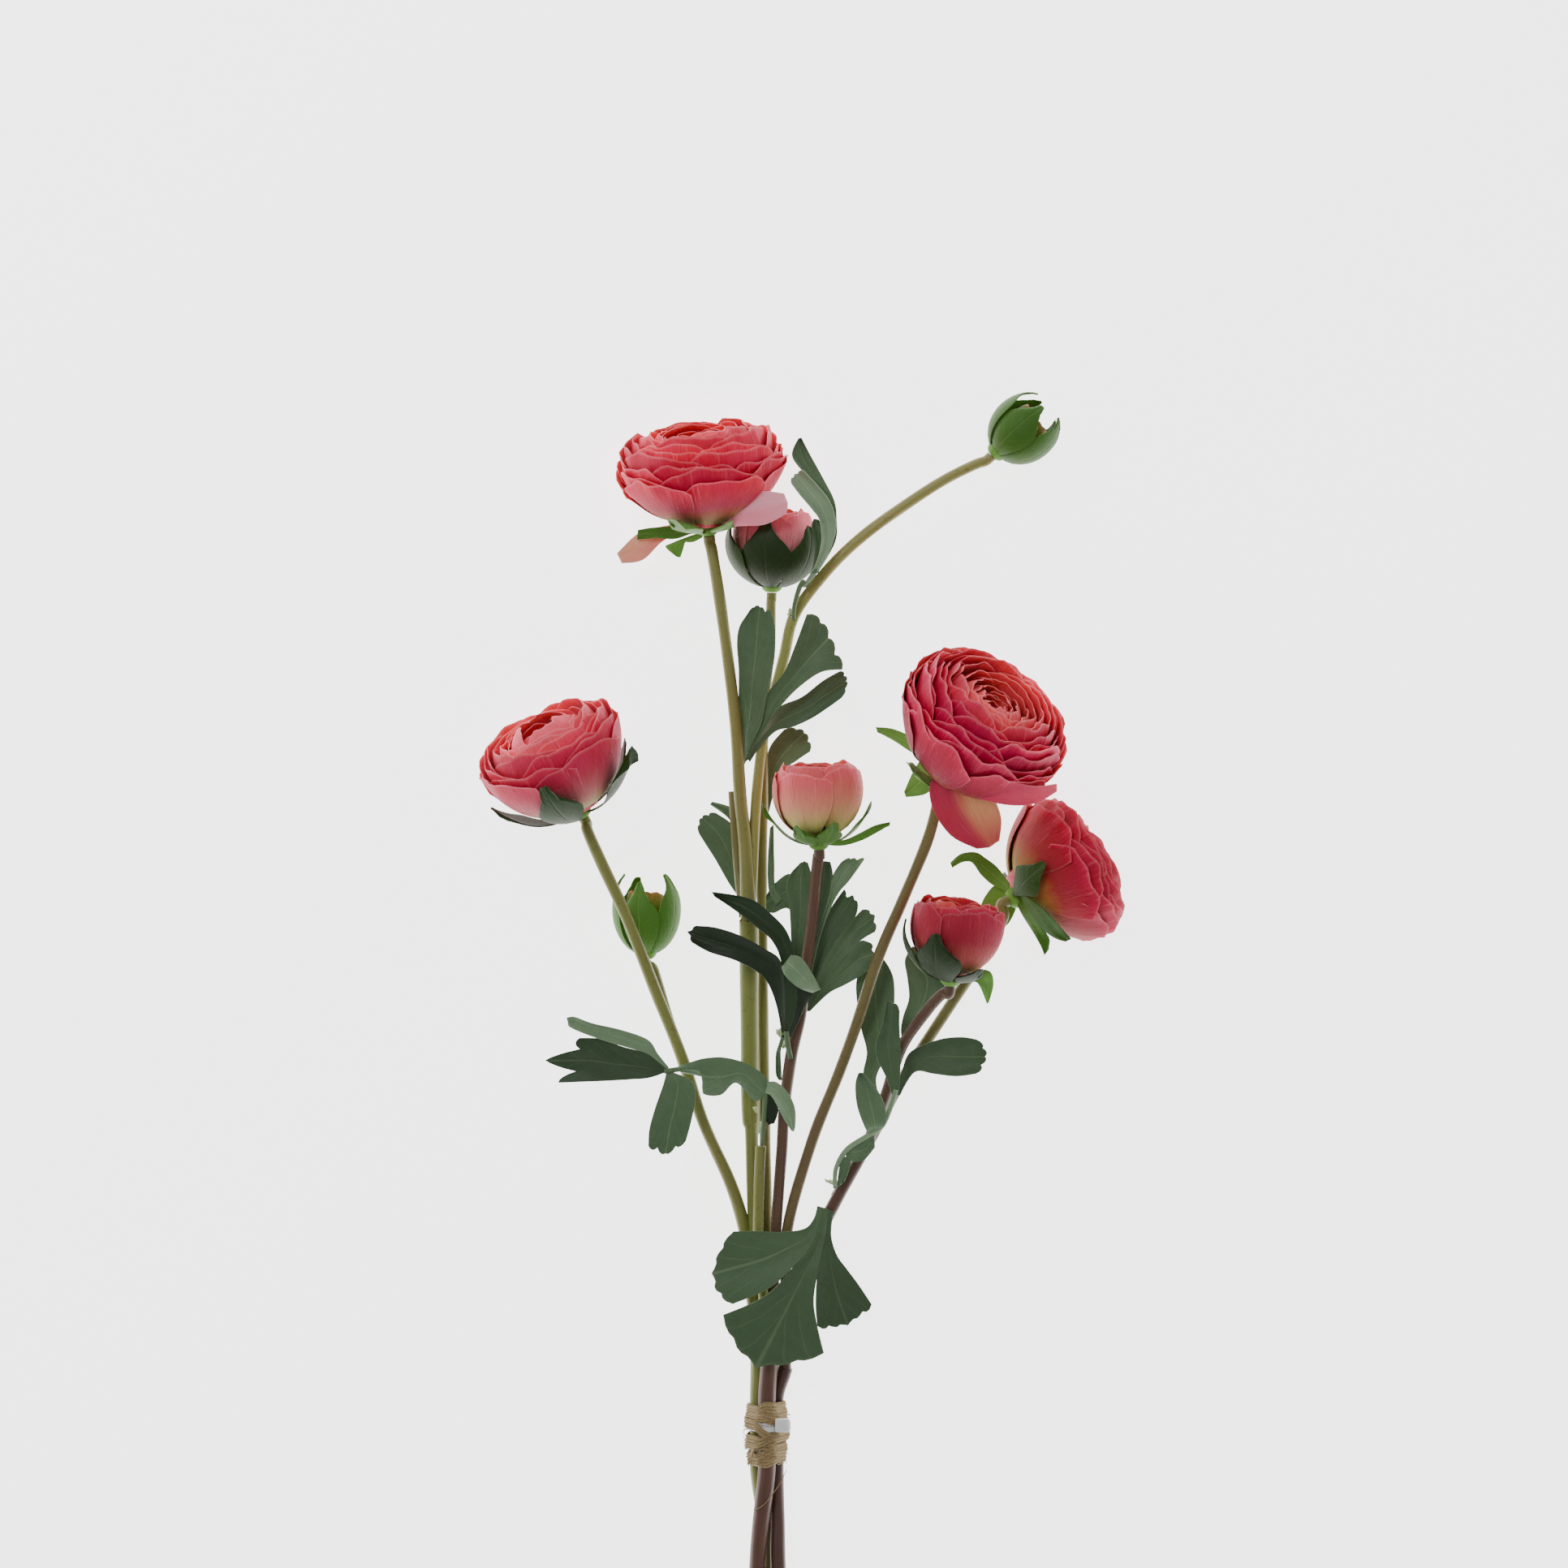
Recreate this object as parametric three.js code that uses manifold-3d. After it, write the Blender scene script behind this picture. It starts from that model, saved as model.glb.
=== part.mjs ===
// A tied bunch of Persian buttercup stems, lying on a table.
// Millimetres, +Z up, table at z = 0, heads towards +Y, cut stem ends towards -Y.
import * as THREE from 'three';
import Module from 'manifold-3d';

const wasm = await Module();
wasm.setup();

// ---- where things are -------------------------------------------------------
// Places are written as [px, py, z]: the pixel of the reference picture (which looks
// straight down on the bunch) and the height over the table in millimetres.
const MM_PER_PX = 0.3;
const LEVEL = 30;              // height at which MM_PER_PX holds
const EYE = 1962;              // height of the picture's eye
const CENTRE_PX = 966;         // pixel straight under the eye
const SHIFT = [-5.78, 97.32];  // from the middle of the picture to the middle of the bunch

const at = ([px, py, z]) => {
  const scale = MM_PER_PX * (EYE - z) / (EYE - LEVEL);
  return [(px - CENTRE_PX) * scale + SHIFT[0], (CENTRE_PX - py) * scale + SHIFT[1], z];
};

// ---- driving sizes -----------------------------------------------------------
const PETAL = 0.7;             // petal thickness
const SEPAL = 0.8;
const LEAF = 0.8;
const GAP = 0.35;              // clearance between neighbouring pieces
const STEM_SIDES = 6;

// ---- small vector kit --------------------------------------------------------
const add = (a, b, s = 1) => [a[0] + b[0] * s, a[1] + b[1] * s, a[2] + b[2] * s];
const sub = (a, b) => add(a, b, -1);
const mul = (a, s) => [a[0] * s, a[1] * s, a[2] * s];
const dot = (a, b) => a[0] * b[0] + a[1] * b[1] + a[2] * b[2];
const cross = (a, b) => [a[1] * b[2] - a[2] * b[1], a[2] * b[0] - a[0] * b[2], a[0] * b[1] - a[1] * b[0]];
const unit = (a) => mul(a, 1 / (Math.hypot(...a) || 1));
const mix = (a, b, t) => a + (b - a) * t;
const mix3 = (a, b, t) => add(mul(a, 1 - t), b, t);
const rad = (d) => d * Math.PI / 180;
const smooth = (t) => {
  const c = Math.min(1, Math.max(0, t));
  return c * c * (3 - 2 * c);
};

// Seeded draws, so every run gives the same bunch.
const draws = (seed) => {
  let state = seed >>> 0;
  return () => {
    state = (Math.imul(state, 1664525) + 1013904223) >>> 0;
    return state / 4294967296;
  };
};

// ---- solids ------------------------------------------------------------------
const solid = (points, faces) => new wasm.Manifold(new wasm.Mesh({
  numProp: 3,
  vertProperties: new Float32Array(points.flat()),
  triVerts: new Uint32Array(faces.flat()),
}));
const fuse = (list) => list.reduce((all, one) => all.add(one));
// The outer skin of a body: pockets shut in between its blades are filled.
const filled = (body) => body.decompose().sort((a, b) => b.volume() - a.volume())[0];

// A sheet of quads given an even thickness; both faces are split the same way.
const thicken = (points, quads, thick) => {
  const normals = points.map(() => [0, 0, 0]);
  const edges = new Map();
  for (const q of quads) {
    const n = cross(sub(points[q[2]], points[q[0]]), sub(points[q[3]], points[q[1]]));
    q.forEach((v, i) => {
      normals[v] = add(normals[v], n);
      const w = q[(i + 1) % 4];
      const back = `${w}_${v}`;
      if (edges.has(back)) edges.delete(back);
      else edges.set(`${v}_${w}`, [v, w]);
    });
  }
  const off = points.length;
  const up = points.map((p, i) => add(p, unit(normals[i]), thick / 2));
  const down = points.map((p, i) => add(p, unit(normals[i]), -thick / 2));
  const faces = [];
  for (const [a, b, c, d] of quads) {
    faces.push([a, b, c], [a, c, d]);
    faces.push([off + c, off + b, off + a], [off + d, off + c, off + a]);
  }
  for (const [a, b] of edges.values()) faces.push([b, a, off + a], [b, off + a, off + b]);
  return solid([...up, ...down], faces);
};

const gridQuads = (rows, cols) => {
  const quads = [];
  for (let i = 0; i < rows; i += 1) {
    for (let j = 0; j < cols; j += 1) {
      const k = i * (cols + 1) + j;
      quads.push([k, k + 1, k + cols + 2, k + cols + 1]);
    }
  }
  return quads;
};

// A smooth line through the points; each point may carry a radius as its last number.
const curve = (points, steps) => {
  const out = [];
  for (let i = 0; i < points.length - 1; i += 1) {
    const [a, b, c, d] = [points[Math.max(0, i - 1)], points[i], points[i + 1],
      points[Math.min(points.length - 1, i + 2)]];
    for (let s = 0; s < steps; s += 1) {
      const t = s / steps;
      out.push(b.map((_, k) => 0.5 * (2 * b[k] + (c[k] - a[k]) * t
        + (2 * a[k] - 5 * b[k] + 4 * c[k] - d[k]) * t * t
        + (3 * b[k] - a[k] - 3 * c[k] + d[k]) * t * t * t)));
    }
  }
  out.push(points[points.length - 1]);
  return out;
};

// A round rod along a line of [x, y, z, radius], closed at both ends.
const rod = (line, sides = STEM_SIDES) => {
  const points = [];
  let side = [0, 0, 1];
  line.forEach((p, i) => {
    const along = unit(sub(line[Math.min(i + 1, line.length - 1)], line[Math.max(i - 1, 0)]));
    side = unit(sub(side, mul(along, dot(side, along))));
    const other = cross(along, side);
    for (let k = 0; k < sides; k += 1) {
      const a = 2 * Math.PI * (k + 0.5) / sides;
      points.push(add(add(p, side, p[3] * Math.cos(a)), other, p[3] * Math.sin(a)));
    }
  });
  const faces = [];
  for (let i = 0; i < line.length - 1; i += 1) {
    for (let k = 0; k < sides; k += 1) {
      const a = i * sides + k;
      const b = i * sides + (k + 1) % sides;
      faces.push([a, b, b + sides], [a, b + sides, a + sides]);
    }
  }
  const last = (line.length - 1) * sides;
  for (let k = 1; k < sides - 1; k += 1) {
    faces.push([0, k + 1, k], [last, last + k, last + k + 1]);
  }
  return solid(points, faces);
};

const stem = (points, steps = 2, sides = STEM_SIDES) => rod(
  curve(points.map((p) => [...at(p), p[3]]), steps),
  sides,
);

// A turned body about the axis of a frame, from [radius, height] pairs that close on it.
const turned = (frame, profile, sides) => {
  const points = [];
  const faces = [];
  const ring = (i, k) => 1 + (i - 1) * sides + (k % sides);
  const end = 1 + (profile.length - 2) * sides;
  points.push(frame.place(0, 0, profile[0][1]));
  for (let i = 1; i < profile.length - 1; i += 1) {
    for (let k = 0; k < sides; k += 1) {
      const a = 2 * Math.PI * k / sides;
      points.push(frame.place(profile[i][0] * Math.cos(a), profile[i][0] * Math.sin(a), profile[i][1]));
    }
  }
  points.push(frame.place(0, 0, profile[profile.length - 1][1]));
  for (let k = 0; k < sides; k += 1) {
    faces.push([0, ring(1, k + 1), ring(1, k)]);
    for (let i = 1; i < profile.length - 2; i += 1) {
      faces.push([ring(i, k), ring(i, k + 1), ring(i + 1, k + 1)]);
      faces.push([ring(i, k), ring(i + 1, k + 1), ring(i + 1, k)]);
    }
    faces.push([end, ring(profile.length - 2, k), ring(profile.length - 2, k + 1)]);
  }
  return solid(points, faces);
};

// ---- a head's own frame: w along its axis, u and v across it --------------------
const frameOf = (base, axis) => {
  const w = unit(axis);
  const u = unit(cross(Math.abs(w[2]) > 0.9 ? [1, 0, 0] : [0, 0, 1], w));
  const v = cross(w, u);
  const origin = at(base);
  return { w, place: (x, y, z) => add(add(add(origin, u, x), v, y), w, z) };
};

// Petal or sepal: a cupped blade that follows the shell of the head.
// from/to are angles up the shell (0 = base, 180 = top), turn is where it stands round it.
const shellBlade = (head, p, rng) => {
  const rows = p.rows ?? 3;
  const cols = p.cols ?? 4;
  const points = [];
  const wave = rng() * 6.28;
  for (let i = 0; i <= rows; i += 1) {
    const t = i / rows;
    for (let j = 0; j <= cols; j += 1) {
      const s = 2 * j / cols - 1;
      const drop = p.round * Math.abs(s) ** 3 + (p.ruffle ?? 0) * Math.sin(5 * s + wave);
      const climb = rad(mix(p.from, p.to - drop * t, t ** 0.8));
      const widen = mix(p.rootWidth, 1, Math.sin(Math.min(1, t * 1.35) * Math.PI / 2));
      const round = rad(p.turn + s * p.width * widen);
      const rim = Math.max(0, t - 0.55) / 0.45;
      const flare = (p.flare ?? 0) * rim * rim + (p.curl ?? 0) * Math.abs(s) ** 3 * t;
      const out = p.scale * (head.radius + (p.stand ?? 0)) * Math.sin(climb) + (p.lean ?? 0) * s + flare;
      const rise = p.lift + p.scale * head.height / 2 * (1 - Math.cos(climb)) + (p.sink ?? 0) * rim;
      points.push(head.place(out * Math.cos(round), out * Math.sin(round), rise));
    }
  }
  return thicken(points, gridQuads(rows, cols), p.thick);
};

// A lobe is a net between its two edges (l, r); neighbouring lobes of one sheet share
// their seam up to the cut between them.  teeth lengthen the end row, cup hollows it.
const netOf = (sheet) => {
  const points = [];
  const quads = [];
  const seen = new Map();
  for (const { l, r, teeth, cup = 0 } of sheet) {
    const cols = teeth ? 4 : 2;
    const last = l.length - 1;
    const middle = (i) => mix3(at(l[i]), at(r[i]), 0.5);
    const ahead = unit(sub(middle(last), middle(last - 1)));
    const net = l.map((_, i) => Array.from({ length: cols + 1 }, (__, j) => {
      const v = j / cols;
      const p = mix3(at(l[i]), at(r[i]), v);
      p[2] -= cup * Math.min(1, i / 3) * (1 - (2 * v - 1) ** 2);
      const q = i === last && teeth ? add(p, ahead, teeth[j] * MM_PER_PX) : p;
      const key = q.map((c) => c.toFixed(2)).join();
      if (!seen.has(key)) seen.set(key, points.push(q) - 1);
      return seen.get(key);
    }));
    for (let i = 0; i < last; i += 1) {
      for (let j = 0; j < cols; j += 1) {
        quads.push([net[i][j], net[i][j + 1], net[i + 1][j + 1], net[i + 1][j]]);
      }
    }
  }
  return { points, quads };
};

// ---- heads -------------------------------------------------------------------
// rings: [petals, tip angle, shell scale, half width, flare] from the outside in.
const HEADS = {
  bloom_a: {
    base: [873, 653, 26], axis: [-0.1, 0.96, 0.22], radius: 31.6, height: 56, seed: 11, lean: 0.9,
    rings: [[5, 80, 1, 40, 1.6], [5, 99, 0.87, 40, 1.4], [4, 119, 0.73, 48, 1], [3, 142, 0.56, 62, 0.6]],
    sepals: [[64, 52, 3, 22], [112, 40, 1, 20], [165, 32, 1, 20], [285, 50, 1, 26]],
    hanging: [
      { l: [[866, 651, 28], [850, 650, 26.3], [828, 649, 24], [805, 650, 22.5], [786, 653, 21]],
        r: [[868, 657, 27], [852, 658, 25.5], [832, 664, 23], [806, 663, 22], [785, 665, 20.8]] },
      { l: [[864, 656, 24], [848, 661, 22], [828, 669, 21], [820, 674, 20.5], [834, 686, 20]],
        r: [[866, 662, 24], [854, 668, 22.5], [845, 668, 21.5], [842, 676, 20.8], [838, 687, 20]] },
    ],
    loose: [
      { cup: -1, teeth: [0, 2, 4, 3, 0],
        l: [[884, 644, 34], [905, 622, 43], [935, 606, 45], [966, 608, 44]],
        r: [[889, 650, 33], [912, 648, 40], [942, 646, 41], [968, 633, 40]] },
      { cup: 0.6,
        l: [[856, 640, 24], [836, 645, 20], [810, 650, 19], [785, 658, 19], [760, 682, 19]],
        r: [[858, 646, 23], [838, 655, 19.5], [815, 668, 19], [792, 690, 19], [766, 694, 19]] },
    ],
  },
  bloom_b: {
    base: [716, 1001, 33], axis: [-0.4, 0.84, 0.34], radius: 27, height: 54, seed: 23, lean: 0.9,
    rings: [[5, 92, 1, 40, 1.4], [5, 112, 0.87, 40, 1], [4, 134, 0.7, 48, 0.5]],
    sepals: [[198, 66, 0.6, 18], [76, 88, 0.6, 22], [8, 72, 1, 20], [142, 80, 6, 18], [270, 40, 0, 30]],
  },
  bloom_c: {
    base: [1165, 961, 47], axis: [0.46, 0.71, 0.52], radius: 32, height: 67, seed: 37, lean: 0.9,
    rings: [[5, 84, 1, 40, 1.2], [5, 102, 0.87, 40, 1], [4, 121, 0.73, 48, 0.8], [3, 142, 0.56, 62, 0.3]],
    sepals: [[56, 48, 1.6, 24], [233, 46, 1, 24]],
    hanging: [
      { l: [[1161, 950, 46.4], [1142, 929, 45.1], [1122, 908, 44], [1100, 898, 43], [1079, 896, 42]],
        r: [[1157, 956, 45.4], [1138, 935, 44.1], [1120, 925, 43], [1102, 913, 42], [1081, 902, 42]] },
      { l: [[1156, 952, 44.8], [1140, 932, 43.7], [1125, 951, 42.7], [1114, 976, 42.1]],
        r: [[1160, 960, 44.4], [1151, 969, 43.7], [1139, 979, 42.7], [1116, 982, 42.1]] },
    ],
    loose: [
      { cup: 1.4, teeth: [0, 2, 4, 2, 0],
        l: [[1166, 950, 58], [1146, 966, 64], [1150, 998, 63], [1172, 1030, 60], [1204, 1046, 56]],
        r: [[1186, 948, 62], [1212, 955, 68], [1226, 985, 66], [1234, 1010, 62], [1231, 1036, 58]] },
      { cup: 0,
        l: [[1190, 972, 68], [1215, 962, 80], [1245, 963, 84], [1275, 969, 82], [1302, 966, 74]],
        r: [[1192, 976, 67], [1215, 986, 70], [1248, 992, 71], [1277, 989, 70], [1302, 975, 68]] },
    ],
  },
  bloom_d: {
    base: [1248, 1107, 34], axis: [0.86, 0.46, -0.22], radius: 28, height: 52, seed: 41, lean: 0.9,
    rings: [[5, 84, 1, 40, 2], [5, 102, 0.87, 40, 1], [4, 121, 0.73, 48, 0.7], [3, 142, 0.56, 62, 0.3]],
    sepals: [[75, 54, 1, 26], [290, 46, 1, 26]],
    hanging: [
      { l: [[1250, 1108, 35.5], [1260, 1128, 36.4], [1272, 1147, 35], [1281, 1163, 34], [1287, 1177, 33.4]],
        r: [[1254, 1104, 36.6], [1267, 1119, 40.5], [1282, 1140, 38], [1293, 1156, 35], [1292, 1170, 33.6]] },
      { l: [[1255, 1103, 37], [1262, 1113, 41], [1272, 1127, 41.5], [1285, 1145, 41], [1300, 1156, 40],
          [1313, 1160, 39]],
        r: [[1253, 1098, 37], [1265, 1104, 44.6], [1284, 1119, 47], [1300, 1135, 45.6], [1312, 1148, 42],
          [1320, 1157, 40]] },
      { l: [[1242, 1098, 33.4], [1224, 1091, 31], [1209, 1078, 30], [1198, 1063, 30], [1187, 1062, 30],
          [1173, 1069, 29]],
        r: [[1244, 1089, 35], [1229, 1069, 33], [1214, 1057, 31], [1202, 1050, 31], [1184, 1052, 30.4],
          [1171, 1063, 29]] },
      { l: [[1242, 1098, 30.6], [1226, 1091, 29], [1214, 1104, 28], [1207, 1119, 27]],
        r: [[1252, 1110, 30.4], [1251, 1122, 29], [1244, 1136, 28], [1238, 1142, 27]] },
    ],
  },
};

const BUDS = {
  bud_e: {
    base: [951, 723, 17], axis: [0.03, 1, 0.05], radius: 15, height: 34, seed: 53, lean: 0.7, room: 1, root: 0.6,
    rings: [[4, 124, 1, 49, 0.1], [3, 142, 0.84, 63, 0.2]], cols: 2,
    sepals: [[20, 116, 0, 32], [80, 120, 0, 34], [140, 112, 0, 32], [205, 100, 0, 32], [290, 104, 0, 38]],
  },
  bud_f: {
    base: [1009, 1040, 43], axis: [-0.03, 1, 0.1], radius: 16.4, height: 36, seed: 61, lean: 0.7,
    rings: [[4, 126, 1, 49, 0.2], [3, 146, 0.84, 63, 0]], cols: 2,
    sepals: [[8, 84, 1.6, 15], [62, 60, 1.6, 28], [108, 64, 1.8, 26], [180, 82, 0.8, 26], [270, 60, 0, 40]],
    hanging: [
      { l: [[1016, 1036, 46], [1040, 1035, 48], [1060, 1026, 49], [1078, 1017, 48.6], [1097, 1013, 47]],
        r: [[1016, 1041, 45.6], [1038, 1042, 47], [1060, 1036, 48], [1078, 1027, 48], [1096, 1017, 47]] },
    ],
  },
  bud_g: {
    base: [1171, 1208, 50], axis: [0.12, 0.98, 0.1], radius: 17, height: 37, seed: 73, lean: 0.7, room: 0.9,
    rings: [[4, 120, 1, 49, 0.6], [3, 138, 0.84, 63, 0.2]], cols: 2,
    sepals: [[14, 100, 0, 22], [66, 92, 0, 36], [128, 54, 0.4, 32], [275, 70, 0, 42]],
    hanging: [
      { l: [[1176, 1204, 50], [1192, 1203, 51], [1208, 1195, 52], [1221, 1198, 52], [1224, 1214, 51],
          [1218, 1235, 50]],
        r: [[1178, 1209, 50], [1192, 1211, 50], [1202, 1210, 51], [1207, 1215, 51], [1212, 1226, 50],
          [1216, 1237, 49]] },
    ],
  },
  bud_h: {
    base: [1227, 557, 30], axis: [0.76, 0.65, 0.02], radius: 9.6, height: 28, seed: 83, lean: 0.5,
    rings: [[3, 118, 0.72, 60, 0]],
    sepals: [[10, 150, 0, 36], [82, 136, 0, 38], [155, 150, 0, 36], [225, 142, 0, 36], [300, 146, 0, 38]],
  },
  bud_i: {
    base: [796, 1175, 15], axis: [0, 1, -0.04], radius: 9.8, height: 34, seed: 97, lean: 0.5,
    rings: [[3, 112, 0.72, 60, 0]],
    sepals: [[5, 140, 0, 36], [78, 126, 0, 38], [150, 140, 0, 36], [220, 132, 0, 36], [292, 136, 0, 38]],
  },
};

const DISC_TOP = 2;            // top of the green disc that carries the petals
const petalsOf = (spec) => {
  const head = { ...frameOf(spec.base, spec.axis), ...spec };
  const rng = draws(spec.seed);
  const lift = DISC_TOP + GAP;
  const [r, h] = [spec.radius, spec.height];
  const core = turned(head, [[0, lift], [0.27 * r, lift], [0.46 * r, lift + 0.2 * h],
    [0.3 * r, lift + 0.46 * h], [0, lift + 0.5 * h]], 7);
  const blades = [];
  spec.rings.forEach(([count, tip, scale, width, flare], ring) => {
    for (let i = 0; i < count; i += 1) {
      blades.push(shellBlade(head, {
        from: 10 + 80 * (1 - scale),
        to: tip + 6 * (rng() - 0.5),
        turn: 360 * (i + 0.5 * ring + 0.08 * (rng() - 0.5)) / count + ring * 17,
        width,
        rootWidth: scale > 0.85 ? 0.45 : 0.75,
        scale,
        lift: lift + PETAL / 2 + (1 - scale) * 0.3 * h,
        lean: spec.lean,
        flare,
        round: 12,
        ruffle: 2.2,
        rows: scale > 0.6 ? 3 : 2,
        cols: spec.cols ?? 3,
        thick: PETAL,
      }, rng));
    }
  });
  const loose = (spec.loose ?? []).map((one) => {
    const { points, quads } = netOf([one]);
    return thicken(points, quads, PETAL);
  });
  return filled(fuse([core, ...blades, ...loose]));
};

const SEPAL_LEAN = 0.5;        // neighbouring sepals overlap by this much
// Green disc with its sepals: some stand outside the petals, others hang loose.
const calyxOf = (spec) => {
  const head = { ...frameOf(spec.base, spec.axis), ...spec };
  const rng = draws(spec.seed + 1000);
  const disc = turned(head, [[0, -2], [2.4, -2], [4.2, 0], [4.2, DISC_TOP], [0, DISC_TOP]], 8);
  const blades = spec.sepals.map(([turn, tip, flare, width]) => shellBlade(head, {
    from: 4,
    to: tip,
    turn,
    width,
    rootWidth: spec.root ?? 0.36,
    scale: 1,
    stand: spec.lean + PETAL / 2 + SEPAL_LEAN + SEPAL / 2 + GAP + (spec.room ?? 0.6),
    lift: -0.4,
    lean: SEPAL_LEAN,
    flare,
    round: 26,
    rows: 3,
    cols: 2,
    thick: SEPAL,
  }, rng));
  const hanging = (spec.hanging ?? []).map((one) => {
    const { points, quads } = netOf([one]);
    return thicken(points, quads, SEPAL);
  });
  return filled(fuse([disc, ...blades, ...hanging]));
};

// ---- stems -------------------------------------------------------------------
// How the three main stems lie where they are tied: [px, height, radius].
const TIED = { y: 1766, olive: [934, 6.3, 3], plum: [945, 12.1, 3.3], right: [956.5, 6.2, 2.8] };
const through = ([x, z, r]) => [1722, 1766, 1812].map((y) => [x, y, z, r]);

// Each line runs from its head (or its leaf) down as [px, py, height, radius].
const SPRAYS = {
  stem_spray_left: [
    { head: 'bloom_a', line: [[878, 684, 26.4, 2.2], [890, 760, 27, 2.2], [905, 880, 27, 2.2],
      [912, 980, 26.6, 2.4], [919, 1050, 26.4, 2.6], [923, 1142, 26, 3]] },
    { head: 'bud_h', line: [[1200, 573, 30, 2], [1161, 593, 30, 2], [1107, 628, 30, 2.1],
      [1052, 670, 30, 2.1], [1010, 714, 29.8, 2.1], [978, 760, 29.2, 2.1], [966, 810, 28, 2.1],
      [954, 855, 26.4, 2], [942, 900, 24.4, 2], [932, 980, 24.2, 2], [928, 1060, 25, 2],
      [924, 1140, 26, 2]] },
    { line: [[902, 975, 21, 1.5], [908, 1060, 21.4, 1.6], [917, 1130, 24, 2]] },
    { line: [[923, 1137, 26, 3.8], [923, 1146, 25.8, 3.7], [923.5, 1250, 22, 3.45],
      [924, 1330, 19, 3.4], [925, 1380, 17.2, 3.3], [926, 1398, 16.6, 2.5], [929, 1515, 13, 2.4],
      [929, 1560, 11.4, 2.7], [934, 1670, 7.6, 3], ...through(TIED.olive), [942, 1870, 4.4, 3],
      [947, 1932, 3.2, 3], [950, 2080, 2.3, 3]] },
    { head: 'bloom_b', line: [[724, 1024, 33, 2.1], [742, 1065, 32.5, 2.2], [772, 1130, 31, 2.2],
      [808, 1222, 27.5, 2.2], [840, 1302, 23, 2.2], [867, 1384, 19, 2.2], [898, 1453, 15.4, 2.3],
      [917, 1513, 13, 2.4], [925, 1580, 11, 2.4], [932, 1640, 9, 2.4]] },
    { head: 'bud_i', line: [[804, 1192, 15, 1.9], [812, 1215, 15.4, 1.9], [826, 1262, 15.6, 1.9],
      [860, 1366, 15.4, 1.9], [898, 1453, 15, 1.9]] },
  ],
  stem_spray_mid: [
    { head: 'bud_e', line: [[950, 744, 17, 1.9], [949, 790, 17.4, 1.9], [944, 850, 18.4, 1.9],
      [940, 910, 19.2, 1.9], [940, 980, 19.6, 1.9], [939, 1060, 19.6, 1.9], [939, 1140, 19, 2],
      [940, 1250, 16.6, 2.1], [941, 1320, 14.8, 2.1], [943, 1420, 12.2, 2.1], [945, 1515, 10.4, 2.1],
      [947, 1560, 11, 2.2], [949, 1610, 12.4, 2.4], [949, 1650, 13.4, 2.4]] },
    { head: 'bud_f', line: [[1008, 1056, 41.5, 2.1], [1004, 1095, 38.5, 2.1], [999, 1150, 35.4, 2.1],
      [992, 1200, 32.6, 2.1], [987, 1250, 29.8, 2.1], [975, 1300, 27, 2.3], [967, 1360, 23, 2.1],
      [963, 1420, 19.4, 2.1], [956, 1515, 15.6, 2.1], [951, 1600, 14, 2.6], [949, 1650, 13.4, 3.3],
      [948.5, 1672, 13.1, 3.3], ...through(TIED.plum), [938, 1870, 11.6, 3.2], [933.5, 1932, 10.4, 3.1],
      [930, 2080, 7.6, 3.1]] },
    { line: [[937, 1412, 21.6, 2], [934, 1515, 18.6, 2], [938, 1570, 17, 2], [946, 1640, 14.6, 2.2]] },
  ],
  stem_spray_right: [
    { head: 'bloom_c', line: [[1155, 990, 46, 2.1], [1142, 1038, 44, 2.1], [1112, 1110, 40, 2.1],
      [1082, 1180, 36.6, 2.1], [1056, 1260, 32, 2.1], [1033, 1324, 28, 2.1], [1001, 1405, 21.6, 2.1],
      [970, 1515, 14.6, 2.1], [969, 1600, 11.8, 2.2], [967, 1670, 9, 2.4]] },
    { head: 'bloom_d', line: [[1236, 1130, 34.6, 2.1], [1221, 1160, 34, 2.1], [1190, 1210, 32.4, 2.1],
      [1137, 1290, 28.4, 2.1], [1106, 1340, 25.2, 2.1], [1072, 1405, 21.6, 2.1], [1030, 1475, 17.6, 2.2]] },
    { head: 'bud_g', line: [[1161, 1225, 48, 2.1], [1142, 1246, 44.6, 2.1], [1111, 1290, 38, 2.1],
      [1091, 1350, 31.6, 2.1], [1067, 1412, 25, 2.1], [1032, 1475, 18.4, 2.4], [1005, 1530, 14.8, 2.5],
      [984, 1600, 12, 2.5], [968, 1670, 9, 2.5]] },
    { line: [[967.3, 1664, 9.2, 2.4], [967.3, 1688, 8.4, 2.4]] },
    { line: [[967.5, 1685, 8.4, 2.9], [965, 1694, 8, 2.8], ...through(TIED.right), [958, 1870, 8, 2.8],
      [959, 1932, 9.6, 2.9], [966, 2080, 8, 2.9]] },
  ],
};

// A stem tip stands GAP under the disc of its head.
const stemOf = ({ head, line }) => {
  const rest = line.map((p) => [...at(p), p[3]]);
  if (!head) return rod(rest);
  const spec = HEADS[head] ?? BUDS[head];
  const frame = frameOf(spec.base, spec.axis);
  const r = line[0][3];
  return rod([[...frame.place(0, 0, -2.2 - GAP), r], [...frame.place(0, 0, -5), r], ...rest]);
};
const below = (body) => filled(body.trimByPlane([0, 0, 1], 0));
const sprayOf = (lines) => below(fuse(lines.map(stemOf)));

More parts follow.
